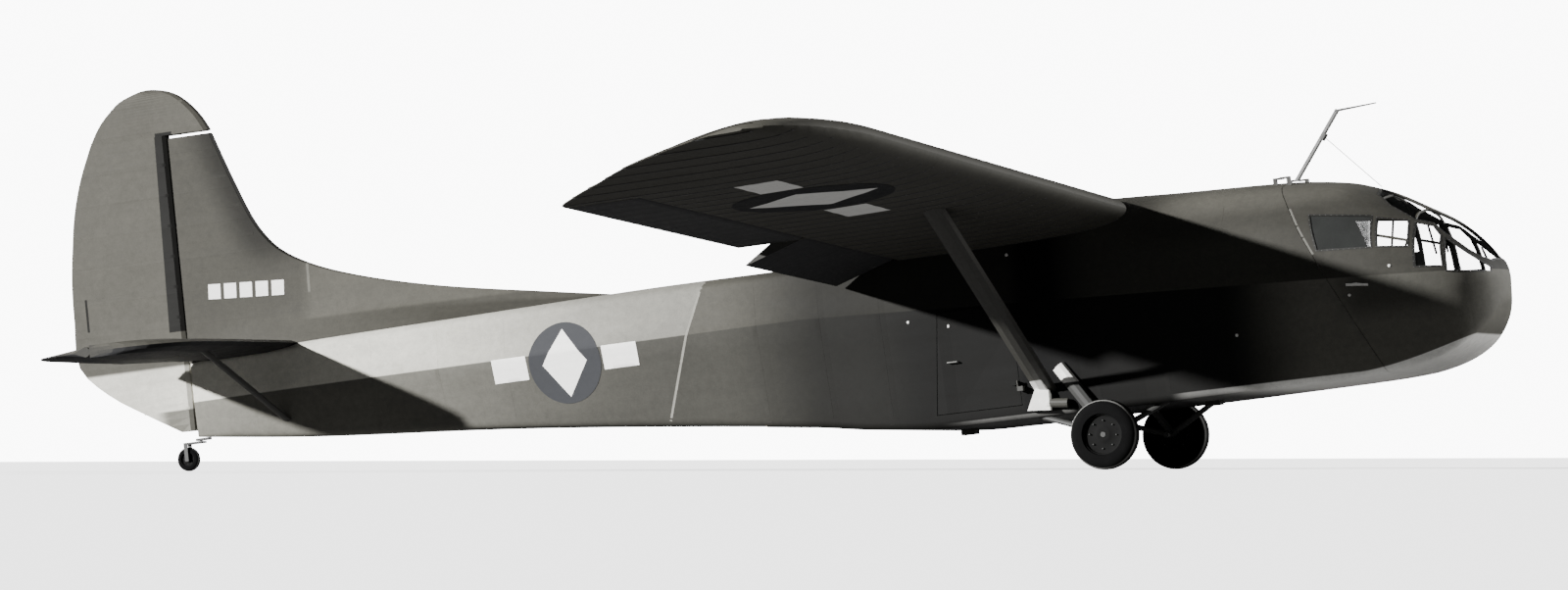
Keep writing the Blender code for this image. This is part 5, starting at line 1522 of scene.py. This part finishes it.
class GLIDER_OT_glazing(bpy.types.Operator):
    """Builds the nose's panes, and their frames and screws"""

    bl_idname = "glider.glazing"
    bl_label = "Glazing"

    def execute(self, context):
        paint = context.scene.glider_paint
        width = context.scene.glider_glazing.frame_width
        finishes = (
            glass_finish("clear_sheet"),
            painted_metal("window_frames", scaled(paint.side, 0.25), 0.6),
            painted_metal("screw_heads", (0.10, 0.10, 0.095), 0.4, 0.5),
        )
        outer = hull_skin(context.scene.glider_fabric)
        for side, name in SIDES:
            names = ("side_panes_" + name, "side_frames_" + name, "side_screws_" + name)
            panes = self.windows(
                context, names, windows_of(side), outer.flank(side), (0, side, 0), finishes,
                width * 0.45, width * 0.5, 0.06)
            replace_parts(panes, "side_glazing_" + name)
        names = ("windshield_panes", "windshield_frame", "windshield_screws")
        halves = [[(x, side * y) for x, y in WINDSHIELD] for side, _ in SIDES]
        panes = self.windows(
            context, names, halves, outer.above, (0, 0, 1), finishes, width * 0.4, width * 0.4, 0.04)
        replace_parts(panes, "windshield")
        return {"FINISHED"}

    @staticmethod
    def windows(context, names, outlines, find, out, finishes, frame_out, screw_out, step):
        """Panes behind the outlines, with frames and screws at their distances outside them."""
        glazing = context.scene.glider_glazing
        glass, trim, steel = finishes
        panes = lay_sheet(
            names[0], "nose", glass,
            [(grown(outline, 0.004), -glazing.pane_depth) for outline in outlines],
            find, out, glazing.pane_thick, step)
        frames = [(on_skin(along(grown(outline, frame_out), 0.05), find), True) for outline in outlines]
        lay_tapes(names[1], "nose", frames, glazing.frame_width, 0.004, trim)
        found = []
        for outline in outlines:
            found += on_skin(along(grown(outline, screw_out), glazing.screw_pitch), find)
        set_heads(names[2], "nose", found, 0.0035, 0.0012, steel, 0.0022)
        return panes


class GLIDER_OT_wheels(bpy.types.Operator):
    """Builds tyres, discs and bolts"""

    bl_idname = "glider.wheels"
    bl_label = "Wheels"

    def execute(self, context):
        paint = context.scene.glider_paint
        # The discs are far darker than the gear's paint, a painted shade of the wing over the main wheels;
        # the tail wheel shares it
        disc = painted_metal("wheel_disc", (0.0055, 0.0055, 0.0053), 0.8, 0.1, gloss=0.08)
        steel = painted_metal("bolt_steel", (0.030, 0.030, 0.029), 0.5, 0.3)
        for node in ("main_wheel_left", "main_wheel_right", "tail_wheel"):
            low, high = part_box(node)
            centre = (low + high) / 2
            radius = (high.x - low.x) / 2
            rubber = rubber_finish(paint, node + "_rubber", centre, radius)
            self.wheel(
                node, centre, radius, (high.y - low.y) / 2, context.scene.glider_wheels, rubber, disc, steel)
        return {"FINISHED"}

    @staticmethod
    def wheel(node, centre, radius, half, wheels, rubber, disc, steel):
        """One wheel; its profiles are given in shares of its radius and of half its width."""
        form = bmesh.new()
        profile = []
        for step in range(25):
            turn = math.pi * (step / 24 - 0.5)
            bulge = math.sin(turn)
            reach = 0.60 + 0.40 * math.cos(turn)**0.62
            profile.append((radius * reach, half * math.copysign(abs(bulge) ** 0.8, bulge)))
        profile += [(radius * 0.56, half * 0.78), (radius * 0.56, -half * 0.78)]
        lathe(form, profile, centre, (0, 1, 0), wheels.steps)
        tyre = new_piece(node + "_tyre", mesh_from(form, "tyre"), rubber, node, 40.0)
        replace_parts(tyre, node)
        form = bmesh.new()
        rim = (
            (0.60, 0.80), (0.585, 0.86), (0.56, 0.84), (0.53, 0.62),
            (0.30, 0.50), (0.22, 0.62), (0.16, 0.64), (0.09, 0.64),
        )
        rim = [(radius * out, half * along_axle) for out, along_axle in rim]
        lathe(form, rim + [(out, -along_axle) for out, along_axle in reversed(rim)], centre, (0, 1, 0), 64)
        new_piece(node + "_disc", mesh_from(form, "disc"), disc, node, 35.0)
        found = []
        for face in (1, -1):
            middle = centre + Vector((0.0, face * half * 0.565, 0.0))
            spots = circle(middle, Vector((1, 0, 0)), Vector((0, 0, 1)), radius * 0.40, wheels.bolts)
            found += [(spot, Vector((0.0, face, 0.0))) for spot in spots]
        set_heads(node + "_bolts", node, found, radius * 0.028, radius * 0.05, steel)


class GLIDER_OT_markings(bpy.types.Operator):
    """Paints the plain markings: discs with a lozenge between two blocks, and a row of blocks on the fin"""

    bl_idname = "glider.markings"
    bl_label = "Markings"

    def execute(self, context):
        paint = context.scene.glider_paint
        dark = marking_finish("marking_dark", paint.marking_dark)
        light = marking_finish("marking_light", paint.marking_light)
        # Darker copies of the pale and dark paints for the wing's underside mark: a painted shade under the
        # wing
        dim = marking_finish("marking_light_shaded", scaled(paint.marking_light, 0.85))
        black = marking_finish("marking_dark_shaded", scaled(paint.marking_dark, 0.3))
        rear = hull_skin(context.scene.glider_fabric)
        fin = Skin("fin_skin")
        for side, name in SIDES:
            out = (0, side, 0)
            self.mark("side", name, SIDE_MARK, SIDE_MARK_R, SIDE_BLOCK, rear.flank(side), (dark, light), out)
            self.fin_blocks(name, fin.flank(side), light, out)
        down = Skin("wing_skin_right").below
        up = Skin("wing_skin_left").above
        x, y = WING_MARK
        self.mark("wing", "right", (x, -y), WING_MARK_R, WING_BLOCK, down, (black, dim), turned(0, 0, -1))
        self.mark("wing", "left", (x, y), WING_MARK_R, WING_BLOCK, up, (dark, light), turned(0, 0, 1))
        return {"FINISHED"}

    @staticmethod
    def fin_blocks(name, find, finish, out):
        width, gap, height = FIN_BLOCK
        foot_x, foot_z = FIN_BLOCK_AT
        patches = []
        for start in (index * (width + gap) for index in range(5)):
            corners = ((start, 0.0), (start + width, 0.0), (start + width, height), (start, height))
            outline = [(foot_x + a - b * FIN_BLOCK_FALL, foot_z + b + a * FIN_BLOCK_FALL) for a, b in corners]
            patches.append((outline, 0.0010))
        lay_sheet("fin_blocks_" + name, "airframe", finish, patches, find, out, PAINT_DEPTH)

    @staticmethod
    def mark(label, name, centre, radius, block, find, finishes, out):
        """A disc with a lozenge and two blocks, fore and aft or, on a wing, along the span."""
        flank = label == "side"
        a, b = centre
        inner, outer, half = block
        disc = circle(Vector(centre), Vector((1, 0)), Vector((0, 1)), radius, 48)
        wide, tall = (radius * share for share in ((0.62, 0.84) if flank else (0.84, 0.62)))
        lozenge = [(a - wide, b), (a, b - tall), (a + wide, b), (a, b + tall)]
        marks = [(lozenge, MARK_LIFT + 0.0012)]
        size = (outer - inner) / 2
        da, db = (size, half) if flank else (half, size)
        for middle in ((inner + outer) / 2, -(inner + outer) / 2):
            x, z = (a + middle, b) if flank else (a, b + middle)
            corners = ((x - da, z - db), (x + da, z - db), (x + da, z + db), (x - da, z + db))
            marks.append((corners, MARK_LIFT))
        cuts = (CREASE_Z,) if flank else ()
        coats = (("_disc_", finishes[0], [(disc, MARK_LIFT)]), ("_lozenge_", finishes[1], marks))
        for kind, finish, patches in coats:
            lay_sheet(
                label + kind + name, "airframe", finish, patches,
                find, out, PAINT_DEPTH, cuts=cuts)


class GLIDER_OT_fittings(bpy.types.Operator):
    """Adds the small pale caps, the steps, the door handles and the tapes of the fuselage"""

    bl_idname = "glider.fittings"
    bl_label = "Fittings"

    def execute(self, context):
        paint = context.scene.glider_paint
        fabric = context.scene.glider_fabric
        cap = painted_metal("pale_caps", scaled(paint.marking_light, 0.8), 0.5)
        steel = painted_metal("handle_steel", (0.16, 0.16, 0.15), 0.4, 0.4)
        seam = tape_finish("seam_tape", scaled(paint.pale, 0.22))
        pale = tape_finish("pale_tape", scaled(paint.pale, 0.42))
        whole = hull_skin(fabric)
        for side, name in SIDES:
            hull = whole.flank(side)
            door = Skin("side_door_" + name).flank(side)
            for body, places in CAPS.items():
                body = body.replace("SIDE", name)
                found = on_skin(places, door if body.startswith("door") else hull)
                set_heads("caps_" + body + "_" + name, body, found, 0.016, 0.010, cap)
            self.upright_tape(
                "seam_tape_" + name, "nose", hull, SEAM_TAPE, -SEAM_SLOPE, 12, 0.020, 0.002, seam)
            lay_sheet(
                "step_" + name, "nose", cap, [(STEP, 0.0006)], hull, (0, side, 0), 0.012, 0.06)
            self.handle(name, door, steel)
            self.formers(name, hull, fabric)
            self.upright_tape(
                "rear_edge_tape_" + name, "airframe", hull, (REAR_EDGE_X, 0.36, 1.68), REAR_EDGE_LEAN, 30,
                0.024, fabric.tape_height, pale, (CREASE_Z,))
        return {"FINISHED"}

    @staticmethod
    def upright_tape(name, body, find, line, lean, steps, width, height, finish, folds=()):
        """A tape up the flank; its line is x at z = 0, and the lowest and highest z."""
        foot, low, high = line
        heights = sorted([low + (high - low) * step / steps for step in range(steps + 1)] + list(folds))
        path = on_skin([(foot + lean * z, z) for z in heights], find)
        lay_tapes(name, body, [(path, False)], width, height, finish)

    @staticmethod
    def handle(name, find, finish):
        places = [find(DOOR_HANDLE[0] + shift, DOOR_HANDLE[1]) for shift in (-0.05, 0.05)]
        stands = [(foot, foot + normal * 0.035) for foot, normal in places]
        near, far = [(foot, foot.lerp(top, 0.75), top) for foot, top in stands]
        form = bmesh.new()
        tube(form, [*near, *reversed(far)], 0.006)
        mesh = mesh_from(form, "handle")
        new_piece("door_handle_" + name, mesh, finish, "door_" + name, 50.0)

    @staticmethod
    def formers(name, find, fabric):
        """Tapes over the formers, in the fabric's own finish."""
        paths = []
        for x, low, high in FORMERS:
            crease = CREASE_Z - max(x - CREASE_DROP_X, 0.0) * CREASE_DROP
            heights = sorted([low + (high - low) * step / 24 for step in range(25)] + [crease])
            paths.append((on_skin([(x, z) for z in heights], find), False))
        finish = bpy.data.materials["hull_fabric"]
        lay_tapes("former_tapes_" + name, "airframe", paths, fabric.tape_width, fabric.tape_height, finish)


class GLIDER_OT_surface_tapes(bpy.types.Operator):
    """Lays rib tapes on the tail surfaces, flaps and ailerons"""

    bl_idname = "glider.surface_tapes"
    bl_label = "Tail and flap tapes"

    def execute(self, context):
        fabric = context.scene.glider_fabric
        hull = to_scene().inverted()
        for node, body, upright, low, high, count in TAPED:
            skin = Skin(node)
            finders = [skin.flank(1), skin.flank(-1)] if upright else [skin.above, skin.below]
            owner = NODES[node] if node in NODES else bpy.data.objects[node]
            ends = [(hull @ corner.co).x for corner in owner.data.vertices]
            front, rear = max(ends) - 0.01, min(ends) + 0.01
            paths = []
            for place in (low + (high - low) * index / (count - 1) for index in range(count)):
                spread = [(front + (rear - front) * step / 40, place) for step in range(41)]
                paths += [(on_skin(spread, find), False) for find in finders]
            paths = [entry for entry in paths if len(entry[0]) > 1]
            finish = owner.material_slots[0].material
            lay_tapes(node + "_tapes", body, paths, fabric.tape_width * 0.7, fabric.tape_height, finish)
        return {"FINISHED"}


class GLIDER_OT_cockpit(bpy.types.Operator):
    """Builds the tube frames inside the fabric, the window posts and the dials"""

    bl_idname = "glider.cockpit"
    bl_label = "Inside frames"

    def execute(self, context):
        paint = context.scene.glider_paint
        fabric = context.scene.glider_fabric
        rows = hull_rows(fabric)
        steel = painted_metal("frame_paint", scaled(paint.lining, 0.5))
        depth = fabric.wall + 0.016
        self.frames(rows, BAY_FRAMES, depth, steel, "bay_frames", "airframe")
        self.frames(rows, NOSE_FRAMES, depth, steel, "nose_frames", "nose")
        lines = []
        for side, _ in SIDES:
            for post in POSTS:
                lines.append(([(x, side * (self.half_width(rows, x, z) - 0.045), z) for x, z in post], False))
        run_pipes("window_posts", "nose", lines, 0.011, painted_metal("post_paint", scaled(paint.side, 0.5)))
        self.dials()
        self.dial_marks(marking_finish("dial_pale", scaled(paint.marking_light, 0.9)))
        return {"FINISHED"}

    @staticmethod
    def half_width(rows, x, z):
        """Half width of the hull at a side-view place."""
        row = row_at(rows, x)
        corners = [(row[index], row[index + 1]) for index in (1, 3, 5, 7)]
        for (low, near), (high, far) in zip(corners, corners[1:]):
            if z <= high:
                return near + (far - near) * max(z - low, 0.0) / (high - low)
        return corners[-1][1]

    @staticmethod
    def frames(rows, places, depth, steel, name, body):
        """Hoops of tube at the stations, with bars and diagonals from each to the next."""
        hoops = [row_at(rows, x) for x in places]
        lines = []
        for row in hoops:
            floor = row[1] + depth + 0.012
            hoop = [(point.x, point.y, max(point.z, floor)) for point in hull_section(row, depth)]
            lines.append((hoop, True))
        for pair in zip(hoops, hoops[1:]):
            for side, _ in SIDES:
                belly, crease, shoulder = [
                    [(row[0], side * (row[index + 1] - depth), row[index] + lift) for row in pair]
                    for index, lift in ((1, 0.05), (3, 0.0), (5, 0.0))
                ]
                lines += [(bar, False) for bar in (belly, crease, shoulder, (belly[0], crease[1]))]
                if body == "airframe":
                    lines.append(((shoulder[0], crease[1]), False))
        run_pipes(name, body, lines, 0.013, steel)

    @staticmethod
    def dials():
        """Plain round dials on the panel's rear face."""
        form = bmesh.new()
        for y, z, radius in DIALS:
            profile = [
                (0.0, 0.0), (0.0, 0.006), (radius * 0.84, 0.006), (radius * 0.88, 0.016), (radius, 0.016),
                (radius * 1.06, 0.010), (radius * 1.06, 0.0),
            ]
            lathe(form, profile, at(DIAL_X, y, z), turned(-1, 0, 0), 32, closed=False)
        bmesh.ops.remove_doubles(form, verts=form.verts, dist=0.0001)
        black = painted_metal("dial_black", (0.010, 0.010, 0.010), 0.35, 0.1)
        new_piece("dials", mesh_from(form, "dials"), black, "nose", 35.0)

    @staticmethod
    def dial_marks(finish):
        """A needle and ten marks on each dial."""
        form = bmesh.new()
        half = Vector((0.001, 0.0016, 0.0016))
        for index, (y, z, radius) in enumerate(DIALS):
            turn = 0.6 + index * 1.3
            way = Vector((0.0, math.cos(turn), math.sin(turn)))
            across = Vector((0.0, -math.sin(turn), math.cos(turn))) * 0.002
            centre = Vector((DIAL_X - 0.0085, y, z))
            needle = [centre - across, centre + across, centre + way * radius * 0.7]
            ring_loft(form, [[point + Vector((shift, 0, 0)) for point in needle] for shift in (0.0, 0.0015)])
            face = Vector((DIAL_X - 0.0075, y, z))
            for middle in circle(face, Vector((0, 1, 0)), Vector((0, 0, 1)), radius * 0.72, 10):
                block(form, middle - half, middle + half)
        form.transform(to_scene())
        new_piece("dial_marks", mesh_from(form, "dial_marks"), finish, "nose", None)


class GLIDER_OT_stage(bpy.types.Operator):
    """Builds the floor, the light and the camera"""

    bl_idname = "glider.stage"
    bl_label = "Stage"

    def execute(self, context):
        stage = context.scene.glider_stage
        form = bmesh.new()
        bmesh.ops.create_grid(form, x_segments=8, y_segments=8, size=stage.floor_size / 2)
        mesh = mesh_from(form, "studio_floor", False)
        new_piece("studio_floor", mesh, self.floor_finish(stage), None, smooth=None)
        self.sun(context, "key", stage.key_way, stage.key_strength, stage.key_softness)
        self.sun(context, "fill", stage.fill_way, stage.fill_strength, stage.fill_softness)
        self.backdrop(context, stage)
        self.camera(context, stage)
        return {"FINISHED"}

    @staticmethod
    def sun(context, name, way, strength, softness):
        """A soft light that reaches the whole object alike; the low key throws the tail's shadow forward."""
        lamp = bpy.data.lights.new(name, "SUN")
        lamp.energy = strength
        lamp.angle = softness
        made = bpy.data.objects.new(name, lamp)
        context.scene.collection.objects.link(made)
        made.rotation_euler = turned(*way).to_track_quat("-Z", "Y").to_euler()

    @staticmethod
    def seen_apart(tree, unseen, seen, leave):
        """Shows one shader to the camera and lets the other light the object."""
        ray = tree.nodes.new("ShaderNodeLightPath")
        blend = tree.nodes.new("ShaderNodeMixShader")
        sources = (ray.outputs["Is Camera Ray"], unseen.outputs[0], seen.outputs[0])
        for value, socket in zip(sources, blend.inputs):
            tree.links.new(value, socket)
        tree.links.new(blend.outputs[0], tree.nodes[leave].inputs["Surface"])

    def floor_finish(self, stage):
        """A pale floor that throws little light up under the wings."""
        sheet = Sheet("studio_floor")
        cloud = sheet.noise(sheet.place(), 0.05, 2.0)
        shade = sheet.shaded((0.90, 0.90, 0.90), 0.97 + cloud * 0.05)
        sheet.finish(shade, 0.9, Emission_Strength=stage.floor_glow, Emission_Color=(1.0, 1.0, 1.0))
        dim = sheet.tree.nodes.new("ShaderNodeBsdfDiffuse")
        dim.inputs["Color"].default_value = (stage.floor_bounce, stage.floor_bounce, stage.floor_bounce, 1.0)
        self.seen_apart(sheet.tree, dim, sheet.shader, "Material Output")
        return sheet.material

    def backdrop(self, context, stage):
        """Soft light from all round, and a white backdrop behind the object."""
        world = bpy.data.worlds.new("studio")
        context.scene.world = world
        world.use_nodes = True
        tree = world.node_tree
        soft = tree.nodes["Background"]
        soft.inputs["Color"].default_value = (0.97, 0.985, 1.0, 1.0)
        soft.inputs["Strength"].default_value = stage.room_light
        white = tree.nodes.new("ShaderNodeBackground")
        white.inputs["Color"].default_value = (1.0, 1.0, 1.0, 1.0)
        white.inputs["Strength"].default_value = stage.backdrop_light
        self.seen_apart(tree, soft, white, "World Output")

    @staticmethod
    def camera(context, stage):
        lens = bpy.data.cameras.new("camera")
        lens.sensor_width = 36.0
        lens.lens = stage.focal_pixels * lens.sensor_width / IMAGE_WIDTH
        lens.clip_end = 2000.0
        made = bpy.data.objects.new("camera", lens)
        context.scene.collection.objects.link(made)
        target = Vector((stage.target_x, 0.0, stage.target_z))
        away = Vector((math.sin(stage.azimuth), -math.cos(stage.azimuth), 0.0))
        made.location = Vector((target.x, target.y, stage.height)) + away * stage.distance
        aim = (target - made.location).to_track_quat("-Z", "Y")
        made.rotation_euler = (aim.to_matrix() @ Matrix.Rotation(stage.roll, 3, "Z")).to_euler()
        context.scene.camera = made


class GLIDER_PT_panel(bpy.types.Panel):
    """Shows a button for each of the glider's operators"""

    bl_label = "Cargo glider"
    bl_idname = "GLIDER_PT_panel"
    bl_space_type = "VIEW_3D"
    bl_region_type = "UI"
    bl_category = "Glider"

    def draw(self, context):
        for operator in OPERATORS:
            self.layout.operator(operator.bl_idname)


GROUPS = (
    ("glider_paint", PaintSettings),
    ("glider_fabric", FabricSettings),
    ("glider_glazing", GlazingSettings),
    ("glider_wheels", WheelSettings),
    ("glider_stage", StageSettings),
)
OPERATORS = (
    GLIDER_OT_fabric,
    GLIDER_OT_skins,
    GLIDER_OT_wings,
    GLIDER_OT_tapes,
    GLIDER_OT_glazing,
    GLIDER_OT_wheels,
    GLIDER_OT_markings,
    GLIDER_OT_fittings,
    GLIDER_OT_surface_tapes,
    GLIDER_OT_cockpit,
    GLIDER_OT_stage,
)


def register():
    for name, group in GROUPS:
        bpy.utils.register_class(group)
        setattr(bpy.types.Scene, name, PointerProperty(type=group))
    for entry in OPERATORS + (GLIDER_PT_panel,):
        bpy.utils.register_class(entry)


def unregister():
    for entry in reversed(OPERATORS + (GLIDER_PT_panel,)):
        bpy.utils.unregister_class(entry)
    for name, group in reversed(GROUPS):
        delattr(bpy.types.Scene, name)
        bpy.utils.unregister_class(group)


def main():
    register()
    bpy.ops.glider.fabric()
    bpy.ops.glider.skins()
    bpy.ops.glider.wings()
    bpy.ops.glider.tapes()
    bpy.ops.glider.glazing()
    bpy.ops.glider.wheels()
    bpy.ops.glider.markings()
    bpy.ops.glider.fittings()
    bpy.ops.glider.surface_tapes()
    bpy.ops.glider.cockpit()
    bpy.ops.glider.stage()


if __name__ == "__main__":
    main()
